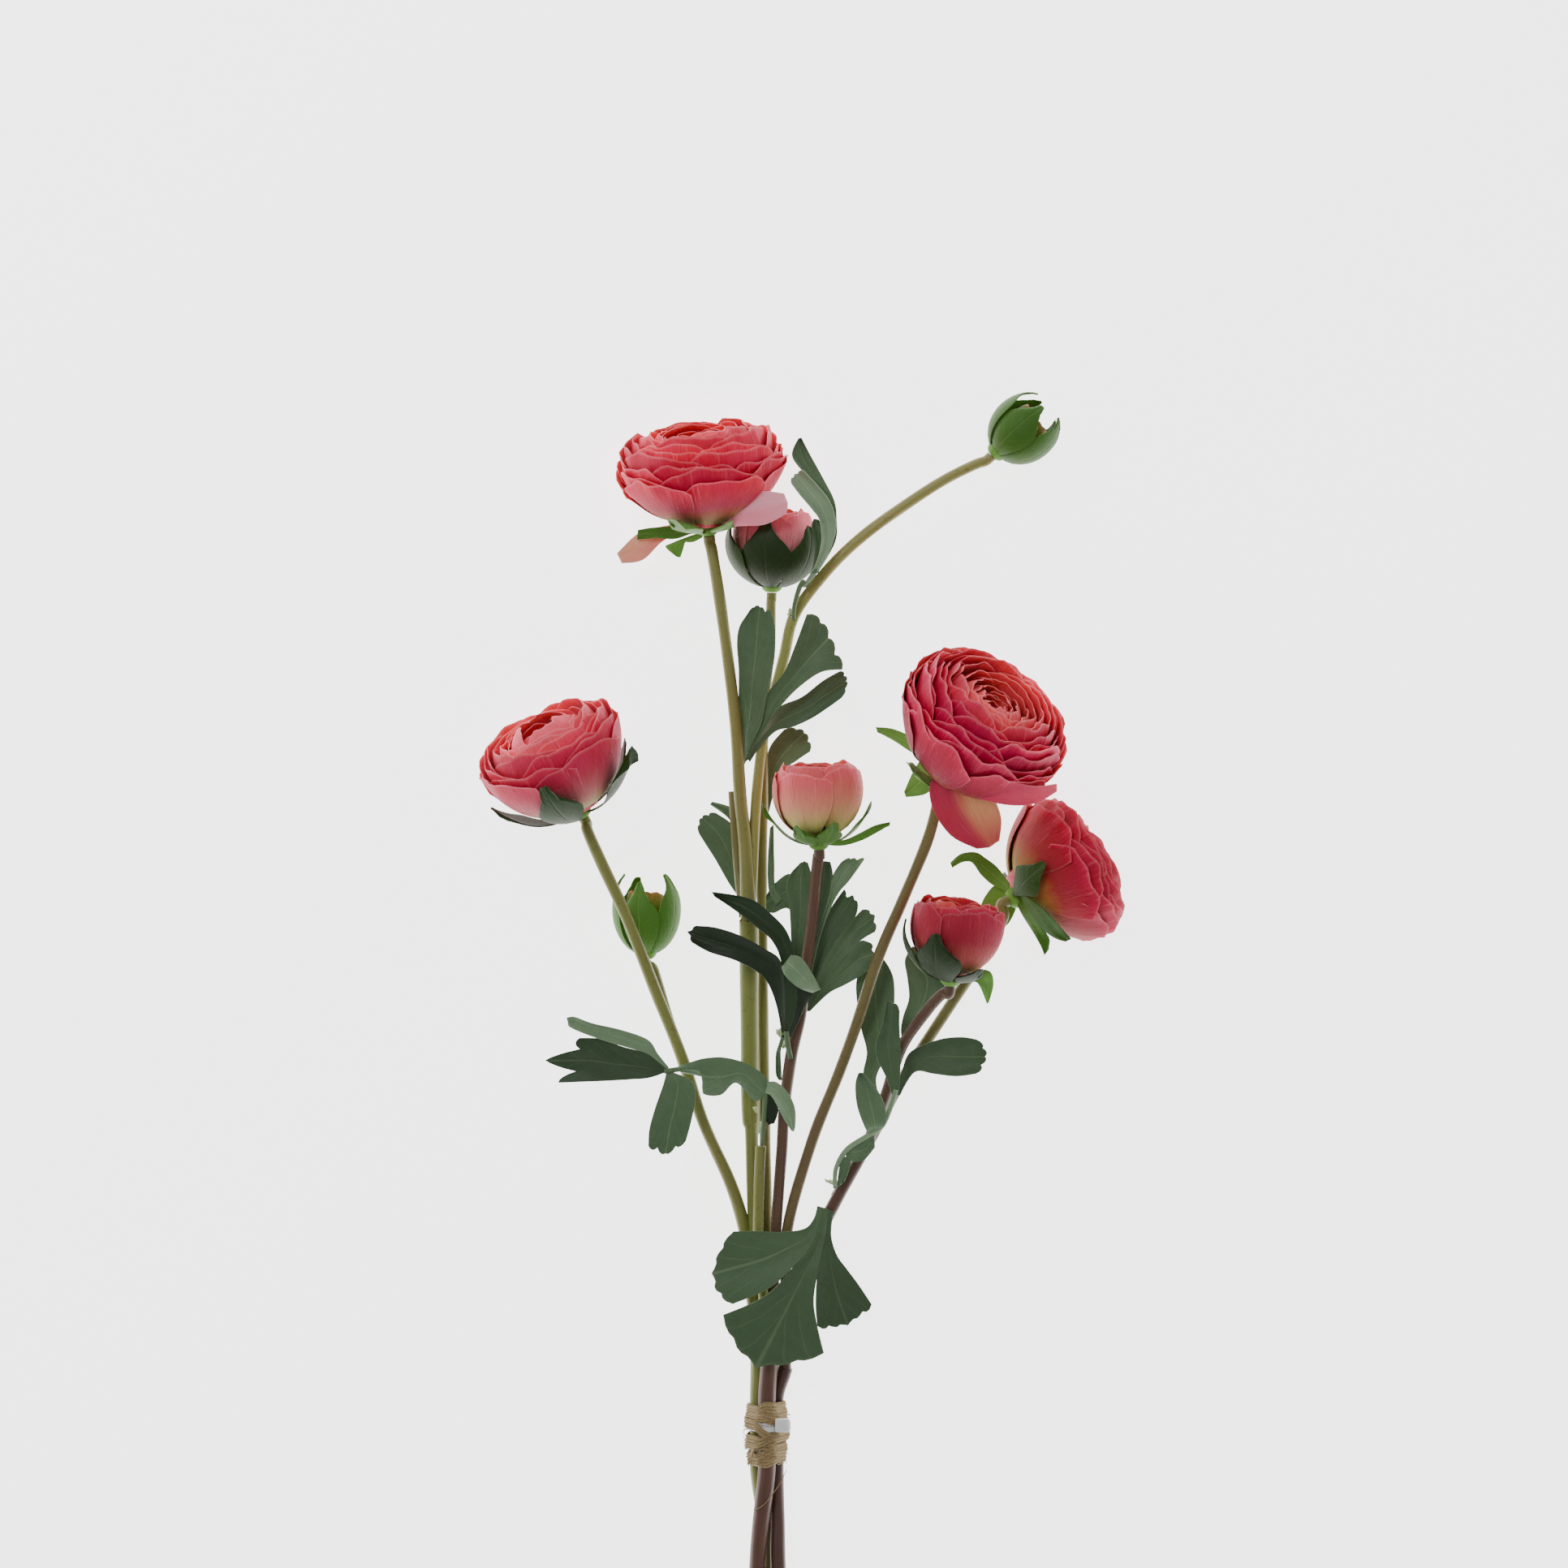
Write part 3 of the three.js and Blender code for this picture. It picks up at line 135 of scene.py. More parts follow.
# ---- meshes ----
class Skin:
    """Collects thin sheets, tubes and turned bodies into one mesh."""

    # Per point: place along and across the sheet or rod, a random number for each sheet, a tone
    # or ring number, which face it is, and a mark for loose petals or frayed stems.
    FIELDS = ("pt", "ps", "pr", "pk", "side", "pl")

    def __init__(self):
        self.points, self.faces, self.sharp, self.count = [], [], [], 0
        self.fields = {k: [] for k in self.FIELDS}

    def _add(self, points, faces, *fields):
        points = np.asarray(points).reshape(-1, 3)
        self.points.append(points)
        self.faces.extend([[i + self.count for i in f] for f in faces])
        for k, value in zip(self.FIELDS, fields):
            self.fields[k].append(value)
        self.count += len(points)

    def sheet(self, grid, thick, pt, ps, pr=0.0, pk=0.0, pl=0.0, lying=False):
        """A thin closed blade about a grid of points.  A lying one keeps its good side up."""
        rows, cols = grid.shape[:2]
        across = np.cross(np.gradient(grid, axis=0), np.gradient(grid, axis=1))
        if lying and across[..., 2].sum() < 0:
            grid, across = grid[:, ::-1], -across[:, ::-1]
        normal = unit(across)
        half = np.broadcast_to(np.asarray(thick, float), (rows, cols))[..., None] / 2
        both = np.stack([grid + normal * half, grid - normal * half])
        n = rows * cols
        faces = []
        for i in range(rows - 1):
            for j in range(cols - 1):
                a, b = i * cols + j, (i + 1) * cols + j
                faces.append([a, b, b + 1, a + 1])
                faces.append([n + a + 1, n + b + 1, n + b, n + a])
        ids = np.arange(n).reshape(rows, cols)
        rim = np.concatenate([ids[:, 0], ids[-1, 1:], ids[-2::-1, -1], ids[0, -2:0:-1]]).tolist()
        for k, p in enumerate(rim):
            q = rim[(k + 1) % len(rim)]
            faces.append([q, p, n + p, n + q])
            self.sharp.append((self.count + p, self.count + q))
            self.sharp.append((self.count + n + p, self.count + n + q))
        two = lambda a: np.tile(np.broadcast_to(a, (rows, cols)).reshape(-1), 2)
        self._add(both, faces, two(pt), two(ps), two(pr), two(pk), np.repeat([0.0, 1.0], n), two(pl))

    def rings(self, loops, pt, ps=None, pr=0.0, pk=0.0, closed=False, pl=0.0):
        """A body through loops of points, capped at both ends unless it closes on itself."""
        rows, sides = np.shape(loops)[:2]
        faces = []
        for i in range(rows if closed else rows - 1):
            for k in range(sides):
                a, b = i * sides + k, i * sides + (k + 1) % sides
                c, d = (i + 1) % rows * sides + (k + 1) % sides, (i + 1) % rows * sides + k
                faces.append([a, b, c, d])
        if not closed:
            last = (rows - 1) * sides
            faces.append(list(range(sides - 1, -1, -1)))
            faces.append([last + k for k in range(sides)])
            for base in (0, last):
                for k in range(sides):
                    self.sharp.append((self.count + base + k, self.count + base + (k + 1) % sides))
        around = np.arange(sides) / sides * 2 - 1 if ps is None else ps
        flat = lambda a: np.broadcast_to(a, (rows, sides)).reshape(-1)
        self._add(loops, faces, flat(np.reshape(pt, (-1, 1))), *map(flat, (around, pr, pk, 0.0, pl)))

    def tube(self, line, sides=14, pr=0.0, pk=0.0, wobble=0.0, seed=0, pl=0.0):
        """A round rod along [x, y, z, radius]."""
        line = np.asarray(line, float)
        p, r = line[:, :3], line[:, 3]
        along = unit(np.gradient(p, axis=0))
        side = np.zeros_like(p)
        s = np.array([0.0, 0.0, 1.0])
        for i in range(len(p)):
            s = unit(s - along[i] * s.dot(along[i]))
            side[i] = s
        other = np.cross(along, side)
        a = TAU * np.arange(sides) / sides
        run = np.concatenate([[0], np.cumsum(np.linalg.norm(np.diff(p, axis=0), axis=1))])
        r = np.repeat(r[:, None], sides, axis=1)
        if wobble:
            rng = np.random.default_rng(seed)
            for _ in range(4):
                f, g, h = rng.uniform(0.05, 0.3), rng.integers(1, 4), rng.uniform(0, TAU)
                r *= 1 + wobble * np.sin(run[:, None] * f + a[None, :] * g + h)
        loops = (p[:, None] + side[:, None] * (r * np.cos(a))[..., None]
                 + other[:, None] * (r * np.sin(a))[..., None])
        self.rings(loops, run, pr=pr, pk=pk, pl=pl)

    def turned(self, head, profile, sides=28, pr=0.0):
        """A turned body about a head's axis, from [radius, height] pairs."""
        profile = np.asarray(profile, float)
        a = TAU * np.arange(sides) / sides
        loops = [head.place(r * np.cos(a), r * np.sin(a), np.full(sides, z)) for r, z in profile]
        self.rings(loops, profile[:, 1], pr=pr)

    def piece(self, name, material, node):
        points = np.concatenate(self.points)
        low = points[:, 2] < PRESSED
        points[low, 2] = PRESSED * np.exp(points[low, 2] / PRESSED - 1)
        mesh = bpy.data.meshes.new(name)
        mesh.from_pydata((points * MM).tolist(), [], self.faces)
        for k in self.FIELDS:
            layer = mesh.attributes.new(k, "FLOAT", "POINT")
            layer.data.foreach_set("value", np.concatenate(self.fields[k]).astype(np.float32))
        mesh.update()
        mesh.polygons.foreach_set("use_smooth", np.ones(len(mesh.polygons), bool))
        ends = np.zeros(len(mesh.edges) * 2, np.int64)
        mesh.edges.foreach_get("vertices", ends)
        key, want = (np.sort(np.reshape(e, (-1, 2)), axis=1) @ [1 << 32, 1] for e in (ends, self.sharp))
        mesh.edges.foreach_set("use_edge_sharp", np.isin(key, want))
        mesh.materials.append(material)
        obj = bpy.data.objects.new(name, mesh)
        bpy.context.scene.collection.objects.link(obj)
        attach(obj, "root")
        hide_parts(node)


# ---- materials ----
def colour(*rgb):
    """An sRGB colour, 0 to 255, as the shader wants it."""
    f = lambda c: c / 12.92 if c <= 0.04045 else ((c + 0.055) / 1.055) ** 2.4
    return (*(f(c / 255) for c in rgb), 1.0)


class Paint:
    """A material built from a few node calls."""

    def __init__(self, name, roughness, **sockets):
        self.mat = bpy.data.materials.new(name)
        self.mat.use_nodes = True
        self.tree = self.mat.node_tree
        self.bsdf = self.tree.nodes["Principled BSDF"]
        self.bsdf.inputs["Roughness"].default_value = roughness
        for k, v in sockets.items():
            self.bsdf.inputs[k.replace("_", " ")].default_value = v

    def node(self, kind, inputs=(), **props):
        n = self.tree.nodes.new(kind)
        for k, v in props.items():
            setattr(n, k, v)
        for k, v in dict(inputs).items():
            if isinstance(v, bpy.types.NodeSocket):
                self.tree.links.new(v, n.inputs[k])
            else:
                n.inputs[k].default_value = v
        return n

    def fields(self, *names):
        return [self.node("ShaderNodeAttribute", attribute_name=n).outputs["Fac"] for n in names]

    def calc(self, op, a, b=0.0, c=0.0, clamp=False):
        return self.node("ShaderNodeMath", {0: a, 1: b, 2: c}, operation=op, use_clamp=clamp).outputs[0]

    add = partialmethod(calc, "ADD")
    sub = partialmethod(calc, "SUBTRACT")
    mul = partialmethod(calc, "MULTIPLY")
    mul_add = partialmethod(calc, "MULTIPLY_ADD")
    max = partialmethod(calc, "MAXIMUM")
    abs = partialmethod(calc, "ABSOLUTE")

    def step(self, value, low, high):
        return self.node("ShaderNodeMapRange", {"Value": value, "From Min": low, "From Max": high},
                         interpolation_type="SMOOTHSTEP").outputs["Result"]

    def vec(self, x, y, z):
        return self.node("ShaderNodeCombineXYZ", {"X": x, "Y": y, "Z": z}).outputs[0]

    def noise(self, scale, detail=3.0, rough=0.55, vector=None):
        if vector is None:
            vector = self.node("ShaderNodeTexCoord").outputs["Object"]
        return self.node("ShaderNodeTexNoise", {
            "Vector": vector, "Scale": scale, "Detail": detail, "Roughness": rough}).outputs["Fac"]

    def ramp(self, value, stops):
        """stops: (place, red, green, blue)"""
        n = self.node("ShaderNodeValToRGB", {"Fac": value})
        e = n.color_ramp.elements
        while len(e) < len(stops):
            e.new(0.5)
        for one, (place, *rgb) in zip(e, stops):
            one.position, one.color = place, colour(*rgb)
        return n.outputs["Color"]

    def blend(self, fac, a, b):
        return self.node("ShaderNodeMix", {"Factor": fac, 6: a, 7: b}, data_type="RGBA").outputs[2]

    def tone(self, c, value=1.0, saturation=1.0, hue=0.5):
        return self.node("ShaderNodeHueSaturation", {
            "Color": c, "Value": value, "Saturation": saturation, "Hue": hue}).outputs[0]

    def finish(self, c, height=None, strength=0.3, distance=0.0004):
        self.tree.links.new(c, self.bsdf.inputs["Base Color"])
        if height is not None:
            bump = self.node("ShaderNodeBump", {"Height": height, "Strength": strength, "Distance": distance})
            self.tree.links.new(bump.outputs[0], self.bsdf.inputs["Normal"])
        return self.mat


def petal_paint(name, inner, outer, heart_and_glow, loose=()):
    """inner, outer: ramps up the two faces of a petal.  heart: colour of the innermost rings, their own
    colour with painted light added: in b and c it is made lighter as a painted glow of light inside the open
    middle.
    loose: colours of the left and right half of each petal that has come away."""
    m = Paint(name, 0.62, Subsurface_Weight=0.1, Subsurface_Radius=(0.006, 0.002, 0.0015),
              Subsurface_Scale=0.6, Sheen_Weight=0.03, Sheen_Roughness=0.4, Specular_IOR_Level=0.25)
    t, s, r, ring, side, which = m.fields(*Skin.FIELDS)
    lane = m.mul_add(s, 5.0, m.mul(r, 37.0))
    ribs = m.noise(3.2, 4.0, 0.7, m.vec(lane, m.mul(t, 0.55), m.mul(r, 11.0)))
    fine = m.noise(11.0, 2.0, 0.6, m.vec(lane, m.mul(t, 0.35), m.mul(r, 5.0)))
    soft = m.noise(90.0, 2.0)
    up = m.add(t, m.mul(m.sub(ribs, 0.5), 0.34), clamp=True)
    c = m.blend(side, m.ramp(up, inner), m.ramp(up, outer))
    # the innermost rings blend into the heart colour, which carries a painted glow of the lit middle
    c = m.blend(m.mul(m.step(ring, 0.45, 1.0), 0.75), c, colour(*heart_and_glow))
    across = m.mul_add(ribs, 0.5, m.sub(s, 0.25))
    for n, (left, right) in enumerate(loose, 1):
        both = m.blend(m.step(across, -0.4, 0.3), colour(*left), colour(*right))
        both = m.blend(m.mul(m.step(t, 0.5, 1.0), 0.7), both, colour(*left))
        c = m.blend(m.calc("COMPARE", which, n, 0.3), c, both)
    c = m.blend(m.mul(m.step(ribs, 0.56, 0.75), 0.4), c, m.tone(c, 1.25, 0.72))
    c = m.blend(m.mul(m.step(fine, 0.5, 0.8), 0.6), c, m.tone(c, 0.6, 1.1))
    # the rim of each petal is made lighter and paler: partly the thin edge's own paler colour, partly a
    # painted highlight and painted glow of the backlit edge
    edge = m.max(m.step(t, 0.955, 1.0), m.step(m.abs(s), 0.955, 1.0))
    c = m.blend(m.mul(edge, 0.5), c, m.tone(c, 1.3, 0.8))
    c = m.tone(c, m.mul_add(r, 0.34, 0.84), 1.02, m.mul_add(soft, 0.014, 0.488))
    return m.finish(c, m.add(ribs, m.mul(fine, 0.7)), 0.5, 0.0005)


def green_paint(name, base, tip, vein, under, weave=0.0, roughness=0.55):
    """Sepals and leaves: veins fan from the root, and the underside is paler."""
    m = Paint(name, roughness, Specular_IOR_Level=0.28, Sheen_Weight=0.02, Sheen_Roughness=0.5)
    t, s, r, tone, side = m.fields("pt", "ps", "pr", "pk", "side")
    base, tip, vein, under = (colour(*c) for c in (base, tip, vein, under))
    c = m.blend(m.add(m.mul(t, 0.7), m.mul(m.noise(38.0, 4.0, 0.6), 0.3), clamp=True), base, tip)
    away = m.abs(s)
    mid = m.sub(1.0, m.step(away, 0.015, 0.07))
    bend = m.sub(m.mul(t, 6.5), m.mul(away, 2.6))
    wander = m.mul(m.noise(60.0, 2.0), 0.5)
    comb = m.abs(m.sub(m.calc("FRACT", m.add(bend, wander)), 0.5))
    side_veins = m.mul(m.sub(1.0, m.step(comb, 0.015, 0.075)), m.step(away, 0.0, 0.1))
    side_veins = m.mul(side_veins, m.sub(1.0, m.step(away, 0.7, 1.0)))
    veins = m.max(mid, m.mul(side_veins, 0.45), clamp=True)
    c = m.blend(m.mul(veins, 0.62), c, vein)
    grain = m.noise(1500.0, 2.0, 0.7)
    mottle = m.noise(260.0, 3.0, 0.6)
    c = m.tone(c, m.mul_add(mottle, 0.32, 0.84))
    c = m.blend(m.mul(side, 0.55), c, under)
    edge = m.max(m.step(t, 0.975, 1.0), m.step(away, 0.965, 1.0))
    c = m.blend(m.mul(edge, 0.35), c, vein)
    # pk lightens or darkens a whole sheet and makes its bright end paler; on leaf lobes and hanging sepals
    # this is painted highlight and painted shade
    c = m.tone(c, m.add(tone, m.mul_add(r, 0.08, 0.96)), m.mul_add(tone, -0.18, 1.0))
    height = m.sub(m.mul(grain, weave), m.mul(veins, 0.9))
    return m.finish(c, m.add(height, m.mul(mottle, 0.35)), 0.45, 0.00045)


def stem_paint():
    """pr gives how plum a stretch is, pk how bright, pl where the green skin is frayed."""
    m = Paint("stem", 0.42, Specular_IOR_Level=0.42, Coat_Weight=0.06, Coat_Roughness=0.3)
    t, s, plum, bright, frayed = m.fields("pt", "ps", "pr", "pk", "pl")
    streaks = m.noise(2.2, 3.0, 0.6, m.vec(m.mul(s, 4.0), m.mul(t, 0.03), plum))
    blush = m.noise(14.0)
    c = m.ramp(m.add(plum, m.mul(m.sub(blush, 0.5), 0.55), clamp=True),
               [(0, 124, 132, 62), (0.35, 120, 112, 60), (0.65, 104, 80, 56), (1, 84, 50, 44)])
    c = m.tone(c, m.add(bright, m.mul_add(streaks, 0.5, 0.72)))
    specks = m.step(m.noise(420.0, 2.0), 0.62, 0.7)
    c = m.blend(m.mul(specks, 0.25), c, colour(70, 60, 40))
    c = m.blend(frayed, c, m.ramp(blush, [(0.3, 176, 196, 120), (0.7, 222, 230, 186)]))
    return m.finish(c, m.add(streaks, m.mul(m.noise(300.0, 2.0), 0.35)))


def raffia_paint():
    m = Paint("raffia", 0.75, Specular_IOR_Level=0.25, Sheen_Weight=0.1, Sheen_Roughness=0.5)
    t, s, r = m.fields("pt", "ps", "pr")
    strands = m.noise(3.0, 5.0, 0.75, m.vec(m.mul_add(s, 6.0, m.mul(r, 31.0)), m.mul(t, 2.0), r))
    c = m.blend(m.step(strands, 0.36, 0.66), colour(132, 108, 70), colour(196, 172, 124))
    c = m.tone(c, m.mul_add(m.noise(160.0, 2.0), 0.3, 0.85))
    return m.finish(c, strands, 0.8, 0.0006)


def nylon_paint():
    m = Paint("nylon", 0.3, Specular_IOR_Level=0.5, Subsurface_Weight=0.35, Subsurface_Scale=0.5,
              Subsurface_Radius=(0.003, 0.003, 0.003))
    c = m.blend(m.noise(240.0, 2.0), colour(226, 228, 230), colour(244, 245, 246))
    return m.finish(c, m.noise(700.0, 2.0), 0.1, 0.0002)


# ---- heads ----
def shell(head, p, rows, cols, rng):
    """A cupped blade on the shell of a head, as a grid of points with its own t and s.
    from, to: angles it climbs through; round, ruffle: how its end is cut; point: how it tapers."""
    t = np.linspace(0, 1, rows + 1)[:, None]
    s = np.linspace(-1, 1, cols + 1)[None, :]
    wave = rng.uniform(0, TAU, 4)
    ruffle = p["ruffle"] * (np.sin(5 * s + wave[0]) + 0.6 * np.sin(11 * s + wave[1]))
    drop = p["round"] * np.abs(s) ** 3 + ruffle
    climb = np.radians(mix(p["from"], p["to"] - drop * t ** 2, t ** 0.8))
    widen = mix(p["root"], 1, np.sin(np.minimum(1, t * 1.35) * np.pi / 2))
    widen = widen * (1 - p.get("point", 0) * smooth((t - 0.45) / 0.55) ** 1.5)
    turn = np.radians(p["turn"] + s * p["width"] * widen)
    rim = np.maximum(0, t - 0.55) / 0.45
    crimp = p["crimp"] * rim ** 1.5 * (np.sin(7 * s + wave[2]) + 0.5 * np.sin(15 * s + wave[3]))
    out = (p["scale"] * (head.radius + p.get("stand", 0)) * np.sin(climb) + p["lean"] * s
           + p.get("flare", 0) * rim ** 2 + crimp)
    rise = p["lift"] + p["scale"] * head.height / 2 * (1 - np.cos(climb))
    return head.place(out * np.cos(turn), out * np.sin(turn), rise), t, s


def ladder(n, tips, end, counts, lap):
    """Rings of petals from the outside in: place, count, tip angle, scale, half width."""
    for k in range(n):
        f = k / max(1, n - 1)
        count = round(mix(*counts, f))
        yield f, count, mix(*tips, f), 1 - (1 - end) * f ** 1.35, 180 / count * lap


def thinned(full, loss, t, s, sharp=4):
    """A thickness that falls off at the tip and the sides."""
    return full - loss * smooth(np.maximum(t, np.abs(s)) * sharp - (sharp - 1))


def lobe_net(l, r, cup, teeth, rows=6, cols=12, notch=0, wave=0.0, seed=0):
    """A lobe between its left and right edge.  teeth lengthen its end, in pixels, notch rounds it
    into that many teeth, cup hollows it and wave ripples it."""
    last = len(l) - 1
    left, right = spline(at(l), rows), spline(at(r), rows)
    u = np.linspace(0, 1, len(left))[:, None]
    v = np.linspace(0, 1, cols + 1)[None, :]
    grid = left[:, None] * (1 - v[..., None]) + right[:, None] * v[..., None]
    grid[..., 2] -= cup * np.minimum(1, u * last / 3) * (1 - (2 * v - 1) ** 2)
    mid = (at(l) + at(r)) / 2
    ahead = unit(mid[-1] - mid[-2])
    end = smooth(u * last - (last - 1))
    if teeth:
        reach = np.interp(v[0], np.linspace(0, 1, len(teeth)), teeth)
        grid += (end * reach[None, :] * MM_PER_PX)[..., None] * ahead
    if notch:
        span = np.linalg.norm(at(r)[-1] - at(l)[-1])
        bite = np.abs(np.sin(np.pi * notch * v)) ** 0.7 * min(1.6, span / notch * 0.35)
        grid += (end ** 2 * bite)[..., None] * ahead
    f = np.random.default_rng(seed).uniform(0, TAU, 3)
    grid[..., 2] += wave * u * (np.sin(9 * u + f[0]) * (2 * v - 1) + 0.6 * np.sin(5 * v * 2 + 7 * u + f[1]))
    return grid, u, 2 * v - 1


# base: where the stem ends; green, root: tone of the sepals and how wide they start; room: how far
# they stand off; close: how far a bud is shut; sepals: turn, tip angle, flare and half width of
# each; hanging, loose: sepals and petals that hang free.
# The first number of each hanging sepal is its tone: lighter ones carry a painted highlight, darker ones
# painted shade.
HEADS = {
    "bloom_a": dict(
        base=[873, 653, 26], axis=[-0.1, 0.96, 0.22], radius=31.6, height=56, seed=11,
        ladder=(12, (76, 156), 0.42, (6, 4), 1.2), flare=1.2, crimp=0.55, paint="a", green=-0.1,
        sepals="64 52 3 22, 112 40 1 20, 165 32 1 20, 285 50 1 26",
        hanging="""
-0.45 0
866 651 28, 850 650 26.3, 828 649 24, 805 650 22.5, 786 653 21
868 657 27, 852 658 25.5, 832 664 23, 806 663 22, 785 665 20.8
0 0
864 656 24, 848 661 22, 828 669 21, 820 674 20.5, 834 686 20
866 662 24, 854 668 22.5, 845 668 21.5, 842 676 20.8, 838 687 20""",
        loose="""
0 -1 0 2 4 3 0
884 644 34, 905 622 43, 935 606 45, 966 608 44
889 650 33, 912 648 40, 942 646 41, 968 633 40
0 0.6
856 640 24, 836 645 20, 810 650 19, 785 658 19, 760 682 19
858 646 23, 838 655 19.5, 815 668 19, 792 690 19, 766 694 19"""),
    "bloom_b": dict(
        base=[716, 1001, 33], axis=[-0.4, 0.84, 0.34], radius=27, height=54, seed=23,
        ladder=(7, (90, 132), 0.62, (5, 4), 1.25), flare=1.2, crimp=0.35, paint="b", green=-0.9,
        sepals="198 66 0.6 18, 76 88 0.6 22, 8 72 1 20, 142 80 6 18, 270 40 0 30"),
    "bloom_c": dict(
        base=[1165, 961, 47], axis=[0.46, 0.71, 0.52], radius=32, height=67, seed=37,
        ladder=(13, (80, 150), 0.36, (6, 4), 1.2), flare=1.2, crimp=0.5, paint="c", green=0.1,
        sepals="56 48 1.6 24, 233 46 1 24",
        hanging="""
0.25 0
1161 950 46.4, 1142 929 45.1, 1122 908 44, 1100 898 43, 1079 896 42
1157 956 45.4, 1138 935 44.1, 1120 925 43, 1102 913 42, 1081 902 42
0.25 0
1156 952 44.8, 1140 932 43.7, 1125 951 42.7, 1114 976 42.1
1160 960 44.4, 1151 969 43.7, 1139 979 42.7, 1116 982 42.1""",
        loose="""
0 1.4 0 2 4 2 0
1166 950 58, 1146 966 64, 1150 998 63, 1172 1030 60, 1204 1046 56
1186 948 62, 1212 955 68, 1226 985 66, 1234 1010 62, 1231 1036 58
0 0
1190 972 68, 1215 962 80, 1245 963 84, 1275 969 82, 1302 966 74
1192 976 67, 1215 986 70, 1248 992 71, 1277 989 70, 1302 975 68"""),
    "bloom_d": dict(
        base=[1248, 1107, 34], axis=[0.86, 0.46, -0.22], radius=28, height=52, seed=41,
        ladder=(11, (80, 152), 0.42, (6, 4), 1.2), flare=1.6, crimp=0.5, paint="d", green=-0.8,
        sepals="75 54 1 26, 290 46 1 26",
        hanging="""
-0.5 0
1250 1108 35.5, 1260 1128 36.4, 1272 1147 35, 1281 1163 34, 1287 1177 33.4
1254 1104 36.6, 1267 1119 40.5, 1282 1140 38, 1293 1156 35, 1292 1170 33.6
-0.7 0
1255 1103 37, 1262 1113 41, 1272 1127 41.5, 1285 1145 41, 1300 1156 40, 1313 1160 39
1253 1098 37, 1265 1104 44.6, 1284 1119 47, 1300 1135 45.6, 1312 1148 42, 1320 1157 40
-0.2 0
1242 1098 33.4, 1224 1091 31, 1209 1078 30, 1198 1063 30, 1187 1062 30, 1173 1069 29
1244 1089 35, 1229 1069 33, 1214 1057 31, 1202 1050 31, 1184 1052 30.4, 1171 1063 29
0.05 0
1242 1098 30.6, 1226 1091 29, 1214 1104 28, 1207 1119 27
1252 1110 30.4, 1251 1122 29, 1244 1136 28, 1238 1142 27"""),
    "bud_e": dict(
        base=[951, 723, 17], axis=[0.03, 1, 0.05], radius=15, height=34, seed=53, room=1,
        ladder=(4, (118, 146), 0.7, (5, 4), 1.25), crimp=0.2, paint="e", green=-0.88, root=0.75,
        sepals="20 116 0 32, 80 120 0 34, 140 112 0 32, 205 100 0 32, 290 104 0 38"),
    "bud_f": dict(
        base=[1009, 1040, 43], axis=[-0.03, 1, 0.1], radius=16.4, height=36, seed=61,
        ladder=(5, (116, 150), 0.6, (5, 4), 1.25), crimp=0.3, paint="f", green=-0.45, root=0.6,
        sepals="8 84 1.6 15, 62 60 1.6 28, 108 64 1.8 26, 180 82 0.8 26, 270 60 0 40",
        hanging="""
-0.2 0
1016 1036 46, 1040 1035 48, 1060 1026 49, 1078 1017 48.6, 1097 1013 47
1016 1041 45.6, 1038 1042 47, 1060 1036 48, 1078 1027 48, 1096 1017 47"""),
    "bud_g": dict(
        base=[1171, 1208, 50], axis=[0.12, 0.98, 0.1], radius=17, height=37, seed=73, room=0.9,
        ladder=(5, (112, 146), 0.6, (5, 4), 1.25), crimp=0.3, paint="g", green=-0.88, root=0.6,
        sepals="14 100 0 22, 66 92 0 36, 128 54 0.4 32, 275 70 0 42",
        hanging="""
0.3 0
1176 1204 50, 1192 1203 51, 1208 1195 52, 1221 1198 52, 1224 1214 51, 1218 1235 50
1178 1209 50, 1192 1211 50, 1202 1210 51, 1207 1215 51, 1212 1226 50, 1216 1237 49"""),
    "bud_h": dict(
        base=[1227, 557, 30], axis=[0.76, 0.65, 0.02], radius=9.6, height=28, seed=83,
        ladder=(2, (120, 140), 0.6, (3, 3), 1.2), crimp=0.1, paint="h", green=-0.55, root=0.85, close=0.72,
        sepals="10 150 0 36, 82 136 0 38, 155 150 0 36, 225 142 0 36, 300 146 0 38"),
    "bud_i": dict(
        base=[796, 1175, 15], axis=[0, 1, -0.04], radius=9.8, height=34, seed=97,
        ladder=(2, (116, 136), 0.6, (3, 3), 1.2), crimp=0.1, paint="h", green=-0.4, root=0.85, close=0.72,
        sepals="5 140 0 36, 78 126 0 38, 150 140 0 36, 220 132 0 36, 292 136 0 38"),
}

